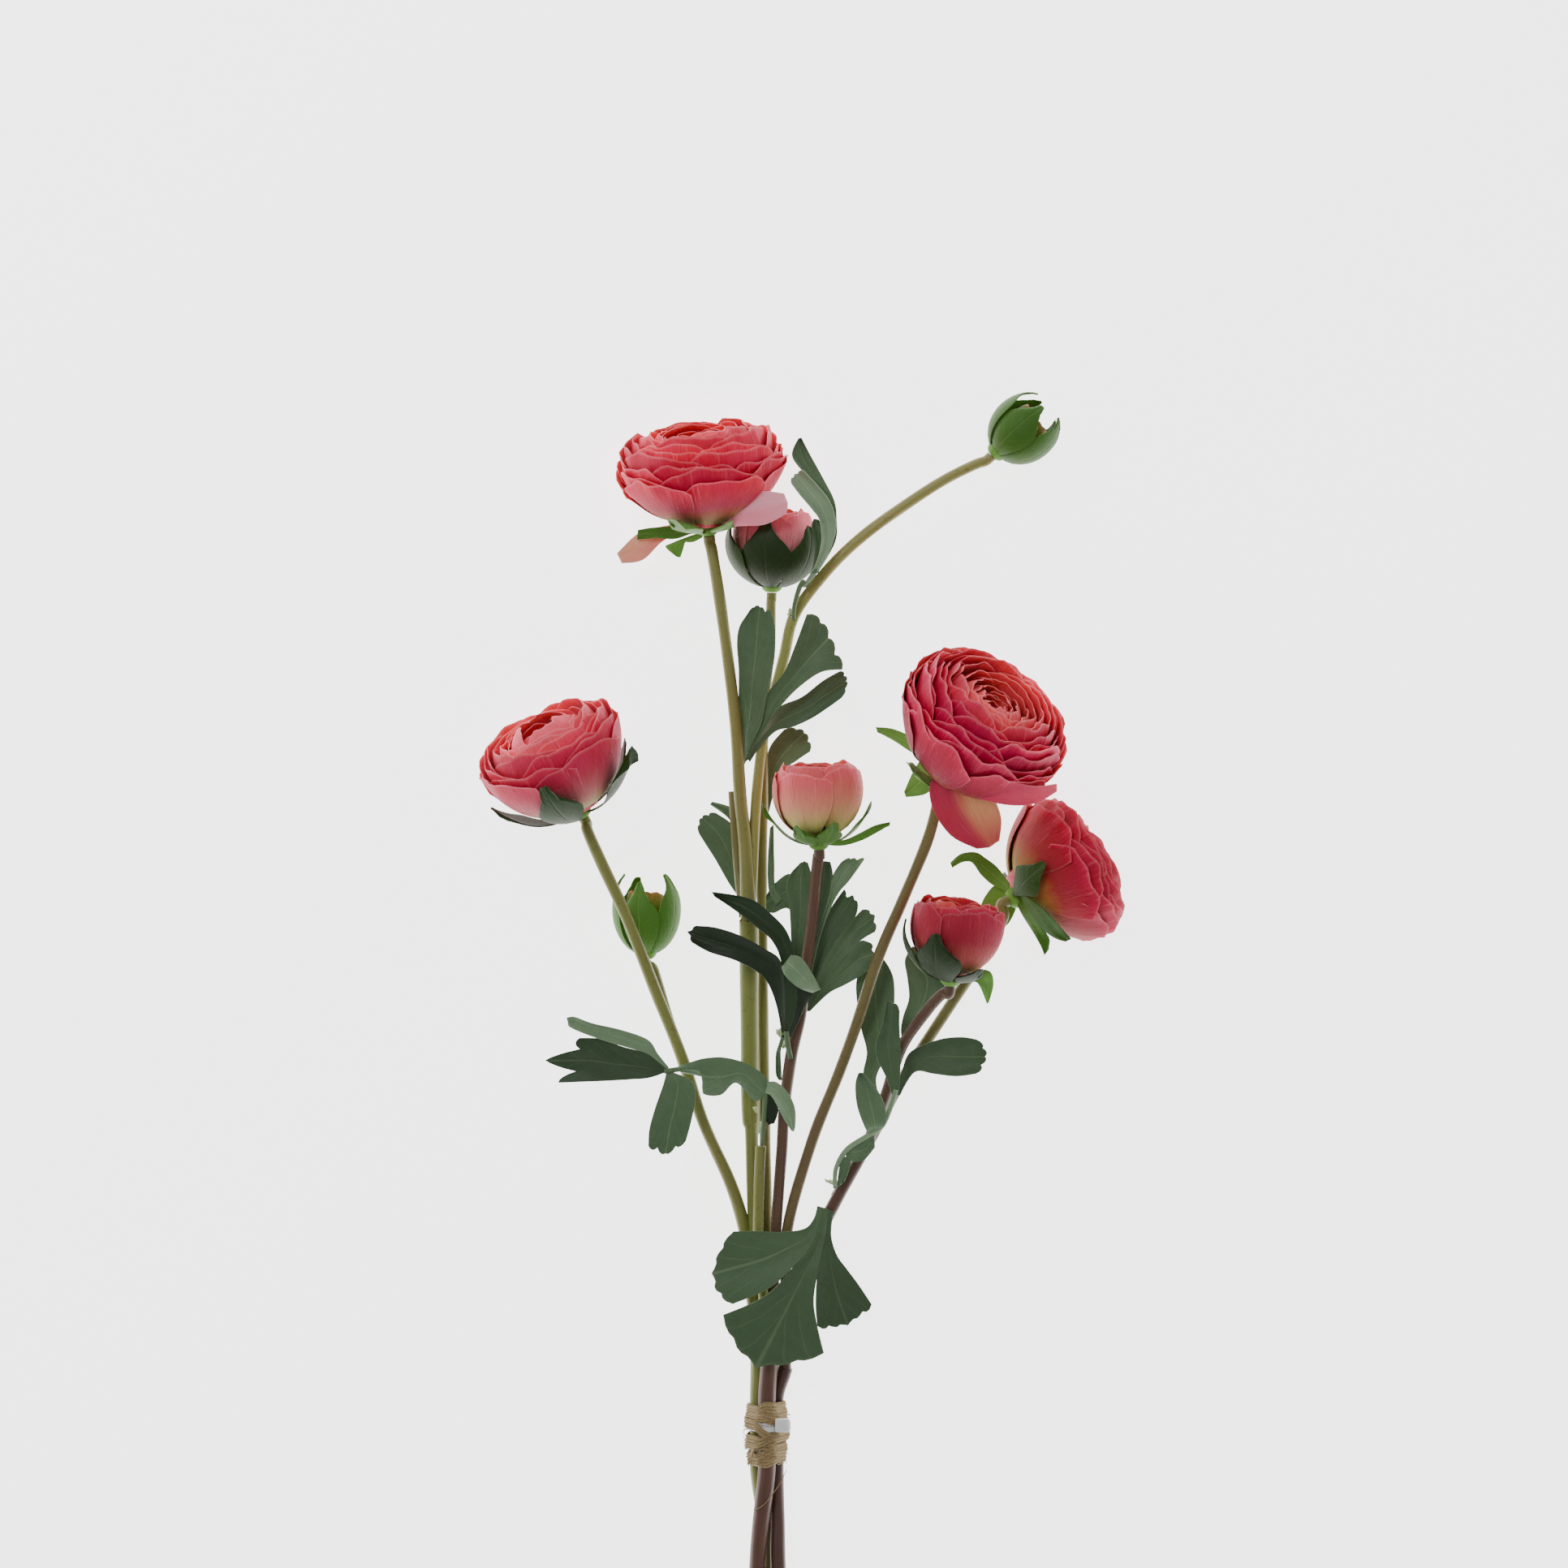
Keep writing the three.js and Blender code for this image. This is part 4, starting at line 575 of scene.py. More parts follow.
CREAM = (0, 214, 206, 150)
LIME = (0, 160, 166, 84)
# heart: the innermost rings; in b and c it is lighter than the petals, a painted glow of light inside the
# open middle
PETALS = {
    "a": dict(
        inner=[LIME, (0.2, 226, 150, 130), (0.6, 240, 80, 92), (1, 240, 58, 74)],
        outer=[LIME, (0.26, 150, 112, 70), (0.55, 170, 52, 66), (0.85, 208, 30, 52), (1, 226, 36, 56)],
        heart_and_glow=(246, 70, 80), loose=[((255, 178, 190), (255, 150, 166)), ((240, 190, 164), (230, 158, 142))]),
    "b": dict(
        inner=[CREAM, (0.3, 230, 120, 118), (0.7, 240, 76, 90), (1, 236, 70, 84)],
        outer=[LIME, (0.2, 186, 160, 112), (0.45, 192, 104, 102), (0.75, 198, 52, 72), (1, 212, 44, 66)],
        heart_and_glow=(255, 106, 116)),
    "c": dict(
        inner=[CREAM, (0.3, 232, 104, 104), (0.7, 246, 74, 88), (1, 246, 70, 86)],
        outer=[LIME, (0.2, 156, 92, 62), (0.5, 152, 20, 48), (0.85, 180, 14, 50), (1, 208, 34, 68)],
        heart_and_glow=(255, 116, 108), loose=[((184, 56, 78), (226, 166, 118)), ((190, 40, 66), (196, 46, 70))]),
    "d": dict(
        inner=[CREAM, (0.3, 224, 120, 90), (0.7, 220, 62, 80), (1, 218, 54, 74)],
        outer=[LIME, (0.2, 150, 112, 44), (0.5, 152, 44, 40), (0.85, 168, 24, 42), (1, 200, 32, 58)],
        heart_and_glow=(214, 50, 66)),
    "e": dict(
        inner=[LIME, (0.5, 216, 122, 124), (1, 220, 96, 106)],
        outer=[LIME, (0.3, 220, 160, 146), (0.7, 224, 122, 126), (1, 220, 86, 98)],
        heart_and_glow=(210, 90, 96)),
    "f": dict(
        inner=[LIME, (0.5, 228, 150, 130), (1, 236, 110, 106)],
        outer=[LIME, (0.25, 196, 188, 112), (0.55, 216, 142, 112), (0.85, 226, 108, 104), (1, 230, 88, 92)],
        heart_and_glow=(232, 90, 86)),
    "g": dict(
        inner=[LIME, (0.5, 214, 84, 84), (1, 214, 60, 74)],
        outer=[LIME, (0.3, 184, 96, 80), (0.6, 170, 44, 56), (1, 184, 42, 58)],
        heart_and_glow=(232, 92, 70)),
    "h": dict(
        inner=[LIME, (0.6, 120, 140, 60), (1, 170, 90, 50)],
        outer=[LIME, (0.6, 110, 140, 56), (1, 140, 120, 52)],
        heart_and_glow=(190, 60, 40)),
}

petals = {k: petal_paint(f"petal_{k}", **v) for k, v in PETALS.items()}
sepal = green_paint("sepal", (104, 158, 58), (88, 142, 50), (144, 188, 92), (96, 146, 60))
leaf = green_paint("leaf", (88, 112, 80), (74, 98, 68), (110, 132, 96), (110, 124, 100),
                   weave=0.5, roughness=0.5)
stem = stem_paint()
raffia = raffia_paint()
nylon = nylon_paint()


def make_petals(name, spec):
    head = Head(spec)
    rng = np.random.default_rng(spec["seed"])
    skin = Skin()
    rows, cols = (12, 16) if head.radius > BIG_HEAD else (10, 12)
    close = spec.get("close", 1.0)
    for f, count, tip, scale, half in ladder(*spec["ladder"]):
        scale *= close
        start = rng.uniform(0, 360)
        for i in range(count):
            grid, t, s = shell(head, {
                "from": 10 + 80 * (1 - scale) * 0.8,
                "to": tip + rng.uniform(-4, 4),
                "turn": start + 360 * (i + 0.14 * rng.uniform(-1, 1)) / count,
                "width": half * rng.uniform(0.92, 1.08),
                "root": 0.5 if f < 0.3 else 0.75,
                "scale": scale * (1 - 0.012 * (i % 2)),
                "lift": PETALS_UP + (1 - scale) * 0.3 * head.height,
                "lean": 0.5 + 0.25 * rng.uniform(-1, 1),
                "flare": spec.get("flare", 0.0) * (1 - f) ** 1.5,
                "round": 13, "ruffle": 1.7, "crimp": spec["crimp"],
            }, rows, cols, rng)
            skin.sheet(grid, thinned(0.42, 0.22, t, s), t, s, rng.uniform(), f)
    tight = np.linspace(0.86, 0.3, 5) * scale if head.radius > OPEN_HEAD else ()
    for k, scale in enumerate(tight):         # the small folded petals that fill the middle
        for i in range(3):
            grid, t, s = shell(head, {
                "from": 55, "to": 148 + rng.uniform(-8, 8), "turn": 120 * i + 67 * k + rng.uniform(-9, 9),
                "width": 66, "root": 0.8, "scale": scale, "lift": PETALS_UP + (1 - scale) * 0.4 * head.height,
                "lean": 0.5, "round": 20, "ruffle": 3.5, "crimp": spec["crimp"],
            }, 8, 14, rng)
            skin.sheet(grid, thinned(0.3, 0.12, t, s), t, s, rng.uniform(), 0.9)
    for k, (_, lobe) in enumerate(lobes(spec.get("loose", ""))):
        grid, t, s = lobe_net(cols=14, wave=0.5, seed=k, **lobe)
        skin.sheet(grid, 0.4, t, s, rng.uniform(), 0.0, pl=k + 1)
    r, h = head.radius * close, head.height * close
    core = [[0.02, 0], [0.3 * r, 0], [0.46 * r, 0.2 * h], [0.34 * r, 0.44 * h], [0.02, 0.5 * h]]
    skin.turned(head, np.add(core, [0, PETALS_UP]))
    skin.piece(f"{name}_petal_layers", petals[spec["paint"]], f"{name}_petals")


def make_calyx(name, spec):
    head = Head(spec)
    rng = np.random.default_rng(spec["seed"] + 1000)
    skin = Skin()
    for turn, tip, flare, width in places(spec["sepals"]):
        grid, t, s = shell(head, {
            "from": 4, "to": tip, "turn": turn, "width": width, "root": spec.get("root", 0.36), "scale": 1,
            "stand": SEPALS_OUT + spec.get("room", 0.6), "lift": -0.4, "lean": 0.5, "flare": flare,
            "round": 16, "ruffle": 0.8, "crimp": 0.2, "point": 0.72,
        }, 14, 12, rng)
        skin.sheet(grid, thinned(0.6, 0.25, t, s), t, s, rng.uniform(), spec["green"])
    # each hanging sepal's tone paints its highlight and shade onto it
    for k, (tone, lobe) in enumerate(lobes(spec.get("hanging", ""))):
        grid, t, s = lobe_net(wave=0.35, seed=k, **lobe)
        skin.sheet(grid, thinned(0.55, 0.25, t, s), t, s, rng.uniform(), tone, lying=True)
    disc = [[0.02, -2.1], [2.2, -2], [3.3, -1.2], [4.1, 0.2], [4.2, 1.4], [3.6, 2], [0.02, 2]]
    skin.turned(head, disc, pr=0.5)
    skin.piece(f"{name}_sepals", sepal, f"{name}_calyx")


for name, spec in HEADS.items():
    make_petals(name, spec)
    make_calyx(name, spec)

# ---- stems ----
TIED_AT = 1766  # py of the tie
TIED = {"olive": [934, 6.3, 3], "plum": [945, 12.1, 3.3], "right": [956.5, 6.2, 2.8]}


def through(name):
    """The straight stretch of a stem inside the tie."""
    px, z, r = TIED[name]
    return [[px, py, z, r] for py in (1722, TIED_AT, 1812)]


# Each stem: the head on it, how plum it is at its top and foot, how bright; then its line, where
# a name stands for the stretch inside the tie.
STEMS = {
    "stem_spray_left": """
bloom_a 0.25 0.15 0.05
878 684 26.4 2.2, 890 760 27 2.2, 905 880 27 2.2, 912 980 26.6 2.4, 919 1050 26.4 2.6, 923 1142 26 3
bud_h 0.3 0.15 0.35
1200 573 30 2, 1161 593 30 2, 1107 628 30 2.1, 1052 670 30 2.1, 1010 714 29.8 2.1, 978 760 29.2 2.1,
966 810 28 2.1, 954 855 26.4 2, 942 900 24.4 2, 932 980 24.2 2, 928 1060 25 2, 924 1140 26 2
- 0.3 0.2 -0.1
902 975 21 1.5, 908 1060 21.4 1.6, 917 1130 24 2
- 0.05 0.15 0
923 1137 26 3.8, 923 1146 25.8 3.7, 923.5 1250 22 3.45, 924 1330 19 3.4, 925 1380 17.2 3.3,
926 1398 16.6 2.5, 929 1515 13 2.4, 929 1560 11.4 2.7, 934 1670 7.6 3, olive, 942 1870 4.4 3,
947 1932 3.2 3, 950 2080 2.3 3
bloom_b 0.1 0.3 0
724 1024 33 2.1, 742 1065 32.5 2.2, 772 1130 31 2.2, 808 1222 27.5 2.2, 840 1302 23 2.2, 867 1384 19 2.2,
898 1453 15.4 2.3, 917 1513 13 2.4, 925 1580 11 2.4, 932 1640 9 2.4
bud_i 0.1 0.3 -0.05
804 1192 15 1.9, 812 1215 15.4 1.9, 826 1262 15.6 1.9, 860 1366 15.4 1.9, 898 1453 15 1.9""",
    "stem_spray_mid": """
bud_e 0.2 0.3 -0.05
950 744 17 1.9, 949 790 17.4 1.9, 944 850 18.4 1.9, 940 910 19.2 1.9, 940 980 19.6 1.9, 939 1060 19.6 1.9,
939 1140 19 2, 940 1250 16.6 2.1, 941 1320 14.8 2.1, 943 1420 12.2 2.1, 945 1515 10.4 2.1, 947 1560 11 2.2,
949 1610 12.4 2.4, 949 1650 13.4 2.4
bud_f 0.75 0.95 0
1008 1056 41.5 2.1, 1004 1095 38.5 2.1, 999 1150 35.4 2.1, 992 1200 32.6 2.1, 987 1250 29.8 2.1,
975 1300 27 2.3, 967 1360 23 2.1, 963 1420 19.4 2.1, 956 1515 15.6 2.1, 951 1600 14 2.6, 949 1650 13.4 3.3,
948.5 1672 13.1 3.3, plum, 938 1870 11.6 3.2, 933.5 1932 10.4 3.1, 930 2080 7.6 3.1
- 0.15 0.3 0
937 1412 21.6 2, 934 1515 18.6 2, 938 1570 17 2, 946 1640 14.6 2.2""",
    "stem_spray_right": """
bloom_c 0.3 0.6 0
1155 990 46 2.1, 1142 1038 44 2.1, 1112 1110 40 2.1, 1082 1180 36.6 2.1, 1056 1260 32 2.1, 1033 1324 28 2.1,
1001 1405 21.6 2.1, 970 1515 14.6 2.1, 969 1600 11.8 2.2, 967 1670 9 2.4
bloom_d 0.2 0.5 0
1236 1130 34.6 2.1, 1221 1160 34 2.1, 1190 1210 32.4 2.1, 1137 1290 28.4 2.1, 1106 1340 25.2 2.1,
1072 1405 21.6 2.1, 1030 1475 17.6 2.2
bud_g 0.85 0.8 -0.1
1161 1225 48 2.1, 1142 1246 44.6 2.1, 1111 1290 38 2.1, 1091 1350 31.6 2.1, 1067 1412 25 2.1,
1032 1475 18.4 2.4, 1005 1530 14.8 2.5, 984 1600 12 2.5, 968 1670 9 2.5
- 0.7 0.9 -0.1
967.3 1664 9.2 2.4, 967.3 1688 8.4 2.4
- 0.9 1 -0.2
967.5 1685 8.4 2.9, 965 1694 8 2.8, right, 958 1870 8 2.8, 959 1932 9.6 2.9, 966 2080 8 2.9""",
}

# Frayed bits of green skin: place, which way they reach in the picture, thickness.
FRAYED = {
    "stem_spray_left": [(975, 751, 31, -5, 8, 0.5), (930, 1364, 22, 4, 10, 0.5),
                        (937, 1384, 21.6, -3, 14, 0.6)],
    "stem_spray_mid": [(960, 1268, 26, 2, 12, 0.7), (964, 1284, 25.6, 2, 8, 0.6)],
    "stem_spray_right": [(1031, 1459, 19, -14, -6, 0.6)],
}


def rod(rows):
    """Rows of place and radius, with the places on the table."""
    rows = np.array(rows, float)
    return np.concatenate([at(rows[:, :3]), rows[:, 3:]], axis=1)


def make_stems(node, text):
    skin = Skin()
    rows = lines(text)
    for k, (how, line) in enumerate(zip(rows[::2], rows[1::2])):
        on, *how = how.split()
        top, foot, bright = map(float, how)
        line = [p for row in line.split(", ") for p in (through(row) if row in TIED else places(row))]
        path = rod(line)
        if on in HEADS:
            head = Head(HEADS[on])
            neck = [[*head.place(0.0, 0.0, low), line[0][3]] for low in (-2.2, -5.0)]
            path = np.concatenate([neck, path])
        fine = spline(path, 8)
        plum = np.repeat(mix(top, foot, np.linspace(0, 1, len(fine)))[:, None], STEM_SIDES, axis=1)
        skin.tube(fine, STEM_SIDES, pr=plum, pk=bright, wobble=0.012, seed=k)
    rng = np.random.default_rng(len(node))
    for px, py, z, dx, dy, r in FRAYED[node]:
        for _ in range(5):                    # a tuft of short shreds
            p = np.array([px, py, z]) + rng.uniform(-1, 1, 3) * [r * 3, r * 3, r * 0.4]
            q = p + np.array([dx, dy, 0.3]) * rng.uniform(0.4, 1)
            line = np.stack([p, (p + q) / 2 + rng.uniform(-1, 1, 3), q])
            thick = [[r], [r * rng.uniform(0.6, 1.1)], [r * 0.4]]
            fine = spline(rod(np.hstack([line, thick])), 5)
            skin.tube(fine, 8, pr=0.2, pl=1.0, wobble=0.25, seed=int(rng.integers(99)))
    skin.piece(f"{node}_stems", stem, node)


for node, text in STEMS.items():
    make_stems(node, text)

# ---- leaves ----
# notch: rounded teeth on the end of each lobe that has teeth; rods: lines of place and radius.
# The first number of each lobe is its tone: the pale lobes carry a painted highlight and the dark lobes
# painted shade.
LEAVES = {
    "leaf_1": dict(notch=3, rods="""
977.5 762 32.1 0.9, 979 745 34.2 0.9, 986 722 35.8 1, 992 716 36.4 0.9""", lobes="""
1.2 1.5 0 3 3 2 0
988 723 36, 1004 697 38, 1012 668 40, 1010 642 41, 1001 628 42, 985 609 41, 975 596 39
992 724 36, 1012 698 38, 1026 669 39, 1030 645 40, 1023 619 41, 1008 599 41, 990 580 40
-0.05 1
1000 706 37.6, 1018 672 37, 1022 640 36, 1013 608 35, 990 582 34, 976 561 33, 984 540 32
1008 706 37.4, 1029 668 36.5, 1031 641 35, 1028 617 34, 1014 589 33, 998 560 32, 987 539 32
-0.3 1
989 722 35.6, 1001 700 34.4, 1004 670 33.6, 1000 650 33.4, 1003 639 33.2
994 724 35.6, 1010 700 34.4, 1015 672 33.6, 1013 650 33.4, 1008 640 33.2"""),
    "leaf_2": dict(notch=4, lobes="""
0 1.4 0 8 7 0 0
917 942 23.4, 911 905 23.6, 910 870 24.1, 910 824 27, 908 793 29, 911 772 30, 921 757 31
919 938 24, 927 915 26.8, 938 890 29, 945 856 30.6, 954 812 31, 955 775 31.5, 950 753 31.5
0 2 0 9 7 2 0
=4 966 828 33, 978 800 35, 994 757 36
922 936 24.3, 931 915 27.4, 945 893 30, 961 871 31.4, 984 847 34, 1012 828 36, 1038 825 35
-0.2 1.6 0 5 8 6 0
=4 988 859 31, 1014 839 31, 1035 827 30
924 939 24, 936 921 26.5, 956 901 28, 976 896 29, 1000 885 30, 1020 872 30, 1037 860 29.5"""),
    "leaf_3": dict(notch=4, rods="""
920 1150 21.3 0.9, 919 1126 18 1, 918.4 1102.6 16.1 1.1""", lobes="""
0.1 1.2 0 6 9 5 0
912 1108 16, 898 1088 16, 882 1060 17, 868 1038 18, 861 1026 18
917 1106 16, 915 1065 16, 908 1032 16.6, 900 1014 17.4, 882 1002 18
0.3 0.6
=3 898 1009 16.6, 875 991 17.4
920 1104 16, 921 1062 15.4, 916 1024 15.6, 904 997 16.6, 877 988 17.4
0.2 1.4 0 10 13 8 0
=1 927 1050 15, 934 1000 15, 943 955 15.2, 948 922 16, 966 899 17.6
924 1106 16, 936 1052 15, 946 1005 15, 962 954 15.2, 982 937 16.4, 998 926 17.6"""),
    "leaf_4": dict(notch=3, lobes="""
0.1 1 0 3 4 3 0
982 1248 27.4, 976 1180 28, 973 1122 31, 969 1094 33, 974 1077 34.4, 984 1066 35
985 1247 27.4, 990 1180 28, 999 1122 31, 1003 1098 33, 1000 1078 34, 996 1066 34.6
0.1 1
=4 1004 1076 34.6, 1010 1060 35.2
988 1246 27.4, 1002 1172 28, 1014 1128 31, 1022 1104 33, 1026 1079 34.6, 1023 1062 35.4
0.8 1 0 4 2 0 2
=5 1036 1063 36
990 1246 27.4, 1006 1172 29, 1018 1132 32, 1032 1102 35, 1047 1084 37, 1064 1060 38
-0.25 1 0 -6 2 2 0
989 1248 27.2, 1002 1178 27.6, 1016 1133 29.2, 1029 1111 30.4, 1040 1096 31.4
992 1247 27.2, 1010 1195 28, 1030 1160 29.6, 1052 1132 31, 1057 1119 31.8
0 1 0 5 7 3 0
=4 1062 1121 32
995 1246 27.2, 1018 1207 28.2, 1039 1182 29.8, 1059 1160 31, 1078 1148 32
0.1 1 0 2 2 2 0
=4 1070 1161 31.6
998 1246 27.2, 1021 1224 28, 1040 1214 29.2, 1058 1204 30.4, 1074 1193 31.4
0 0.6
984 1150 28.4, 972 1120 27.4, 953 1125 25.4, 944 1122 24.6
990 1120 30.2, 976 1078 29, 955 1088 26.6, 944 1104 25.2
0.1 0
956 1116 26.4, 947 1096 25.8, 946 1060 25.4, 949 1020 25
964 1108 27, 955 1092 26.4, 954 1060 25.4, 953 1016 25"""),
    "leaf_5": dict(notch=3, rods="""
974 1304 31 1, 970 1284 32.6 1.1, 969 1270 34 1""", lobes="""
-0.8 1.6 0 2 7 2 0
964 1279 33, 957 1240 36, 946 1211 39, 931 1196 41, 905 1183 42, 874 1173 41, 853 1161 40
968 1277 33.4, 968 1240 38, 963 1187 42, 940 1168 43, 910 1152 44, 881 1143 43, 858 1141 41
-0.7 1.6
=3 952 1160 44, 933 1143 45, 905 1121 44, 880 1104 42
971 1277 33.4, 982 1235 38, 981 1188 42, 971 1151 43, 953 1129 44, 925 1108 44, 877 1099 42
-0.8 0
970 1278 33, 978 1245 36.6, 983 1214 40
975 1277 32.6, 994 1237 36.4, 1004 1221 40
0.8 -1.4
1011 1219 40.6, 1000 1198 45, 987 1180 46.6, 974 1177 45.6
1000 1223 40, 984 1217 45, 969 1204 46.4, 963 1192 45
0 0
964 1272 34, 959 1288 29, 956 1300 25, 956 1322 23.6, 960 1331 23
969 1274 34, 963 1290 29, 962 1302 25, 963 1322 23.6, 963 1331 23"""),
    "leaf_6": dict(notch=4, rods="""
938.5 1410.8 22.8 0.8, 941 1385 25.6 0.9, 943 1350 27.6 1, 944 1336 29.4 1
846 1316 32.6 1, 833 1318 33 1, 818 1320 33.2 1""", lobes="""
0.2 -1.4
948 1346 28, 944 1328 30, 921 1311 33, 893 1303 34, 868 1304 34, 850 1309 34, 834 1315 33
941 1350 27.6, 929 1356 28, 907 1334 31, 888 1349 29.6, 866 1347 29.6, 872 1330 31.6, 839 1321 32.4
0.7 0.8
824 1315 33, 811 1299 35, 798 1281 36.4, 765 1269 36.4, 730 1261 35, 708 1253 33, 698 1254 32
822 1318 33, 808 1306 34.6, 794 1297 35.6, 757 1286 36.4, 724 1275 35, 703 1266 33, 700 1262 32
-0.5 1.2 0 -7 30 -15 0
=3 765 1289 34.4, 740 1280 33, 714 1279 31.6
821 1321 33, 800 1328 34, 778 1330 33.4, 745 1332 32.4, 715 1333 31, 688 1334 29.6
0 1.2 0 4 13 5 0
=1 817 1337 34, 807 1366 33.4, 800 1392 32, 799 1412 31
826 1320 33, 852 1332 34, 857 1352 33.6, 852 1380 32.4, 845 1406 31
0.9 -1
943 1334 29.4, 956 1333 31.4, 970 1345 31.4, 979 1364 30, 980 1384 29, 978 1394 28.6
942 1346 28.4, 950 1350 30.4, 957 1361 30, 965 1377 29, 972 1388 28.6, 975 1393 28.4
-0.8 0
946 1338 28.8, 957 1350 27.6, 959 1368 27, 954 1384 26.4
941 1344 28.2, 943 1362 26.8, 943 1378 26.2, 947 1386 26"""),
    "leaf_7": dict(notch=4, rod_tone=0.9, rods="""
1029 1463 21.6 0.9, 1030 1440 26.6 0.9, 1043 1417 30.6 1, 1066 1401 34.6 1, 1086 1388 37.4 1,
1097 1365 39 1, 1104 1342 40 1""", lobes="""
-0.2 1 0 5 2 6 0
1099 1349 40, 1092 1328 41.4, 1081 1305 43, 1079 1286 43.6, 1087 1262 44.2, 1092 1236 44.2
1108 1348 39.6, 1109 1325 41.4, 1110 1300 43, 1109 1280 43.6, 1108 1262 44.2, 1108 1246 44.2
-0.2 1.4 0 8 11 6 0
1103 1349 39.4, 1111 1322 36, 1122 1296 33.2, 1157 1281 33.6, 1185 1278 35, 1203 1281 36
1109 1350 39.2, 1118 1332 36, 1130 1320 33.6, 1150 1323 34, 1178 1326 35, 1203 1323 36
0.2 1.2
1072 1400 34.4, 1065 1388 39, 1056 1362 42, 1054 1336 43, 1058 1322 43
1080 1393 35.6, 1091 1385 39.4, 1090 1362 42, 1079 1340 43, 1063 1322 43
0.1 0
1040 1421 29.4, 1050 1431 30, 1065 1429 31.4, 1078 1414 34.6
1044 1415 30.6, 1056 1408 32.6, 1066 1402 34.2, 1077 1394 35.8
-0.1 0
1036 1426 29, 1033 1446 26.4, 1031 1463 25
1050 1424 30.2, 1046 1442 28, 1039 1458 26"""),
    "leaf_8": dict(notch=5, lobes="""
-0.05 1.2 0 16 23 18 0
1007 1486 20.4, 1003 1501 22.4, 991 1514 23.4, 962 1518 25, 930 1517 25.6, 904 1517 24.6
1014 1488 20.4, 1008 1513 22.8, 998 1536 24.4, 982 1556 26, 948 1587 26.6, 903 1607 25
-0.22 1.4 0 30 46 30 6
=4 944 1596 25.6, 891 1620 24
1021 1490 20.4, 1018 1518 22.8, 1012 1545 24.4, 1007 1570 25.6, 1003 1612 24.6, 1018 1662 23.6
-0.35 1.2 0 5 9 4 0
=4 1005 1606 24.4, 1007 1634 23
1027 1493 20.4, 1024 1522 22.8, 1031 1546 24, 1043 1563 24.6, 1058 1583 24.2, 1074 1607 23.4"""),
    "leaf_9": dict(lobes="""
0.15 1.2
1113 1285 35.8, 1110 1270 34, 1113 1252 33, 1120 1230 32, 1118 1205 31, 1115 1183 30.4, 1124 1166 30
1119 1286 35.8, 1128 1274 34, 1143 1254 33, 1157 1234 32, 1166 1212 31, 1152 1188 30.4, 1133 1168 30"""),
    "leaf_10": dict(lobes="""
0.1 1.2
1078 1358 29.6, 1064 1326 27, 1068 1296 26.4, 1060 1262 26.4, 1055 1210 26.8, 1070 1180 28
1084 1354 29.5, 1080 1326 26.8, 1098 1290 26.4, 1101 1256 27, 1101 1206 28.4, 1086 1178 29"""),
}


def make_leaf(name, spec):
    skin = Skin()
    rng = np.random.default_rng(int(name[5:]) * 7)
    for tone, lobe in lobes(spec["lobes"]):
        grid, t, s = lobe_net(rows=7, cols=16, notch=spec["notch"] if lobe["teeth"] else 0,
                              wave=0.45, seed=rng.integers(1000), **lobe)
        skin.sheet(grid, thinned(0.5, 0.25, t, s, 5), t, s, rng.uniform(), tone, lying=True)
    for line in lines(spec.get("rods", "")):
        tone = spec.get("rod_tone", 0.06)
        skin.tube(spline(rod(places(line)), 8), 10, pr=0.5, pk=tone, wobble=0.02, seed=3)
    skin.piece(f"{name}_blades", leaf, name)


for name, spec in LEAVES.items():
    make_leaf(name, spec)

# ---- the tie ----
HELD = np.array([(*at([px, TIED_AT, z])[[0, 2]], r) for px, z, r in TIED.values()])
TIE_LEVEL = at([0, TIED_AT, 8])[1]
TIE_UP = 3  # the tie sits this far above the middle of the wrap
TIE_THICK = 0.8
OVER_TIE = TIE_THICK + 2 * GAP
WRAP_SIDES = 120


def winding(skin, y, section, slope=0.0, skew=0.0, pr=0.0, span=None):
    """A band pulled tight round the stems.  section(a) gives rows of [along the stems, out from
    them] at the angle a; slope and skew tip the band; span: the angles where an open one ends."""
    closed = span is None
    angles = np.linspace(*(span or (0, TAU)), WRAP_SIDES, endpoint=not closed)
    loops = []
    for a in angles:
        c, s = np.cos(a), np.sin(a)
        x, z, r = HELD[(HELD @ [c, s, 1]).argmax()]
        along, out = section(a).T
        far = r + out
        loops.append(np.stack([x + far * c, TIE_LEVEL + y + slope * c + skew * s + along, z + far * s], -1))
    half = len(loops[0]) // 2
    across = np.concatenate([np.linspace(-1, 1, half), np.linspace(1, -1, len(loops[0]) - half)])
    skin.rings(loops, np.arange(WRAP_SIDES) / WRAP_SIDES * 4, ps=across, pr=pr, closed=closed)


def ribbon(width, out, thick, folds, depth, rng):
    """A strip of raffia: a thin pleated section that drifts as it goes round."""
    f = rng.uniform(0, TAU, 6)
    v = np.linspace(-1, 1, 22)

    def section(a):
        w = width / 2 * (1 + 0.1 * np.sin(2 * a + f[0]) + 0.06 * np.sin(5 * a + f[1]))
        x = w * v + 0.25 * np.sin(3 * a + f[2])
        h = (0.5 + 0.5 * np.sin(folds * np.pi * v + f[3] + 0.8 * np.sin(2 * a + f[4])
                                + 0.5 * np.sin(3 * a + f[5]))) * depth
        h = h * (1 - 0.5 * np.abs(v) ** 4)
        t = thick * (1 - 0.4 * np.abs(v) ** 4)
        return np.concatenate([np.stack([x, out + h + t], -1), np.stack([x, out + h], -1)[::-1]])

    return section


skin = Skin()
rng = np.random.default_rng(5)
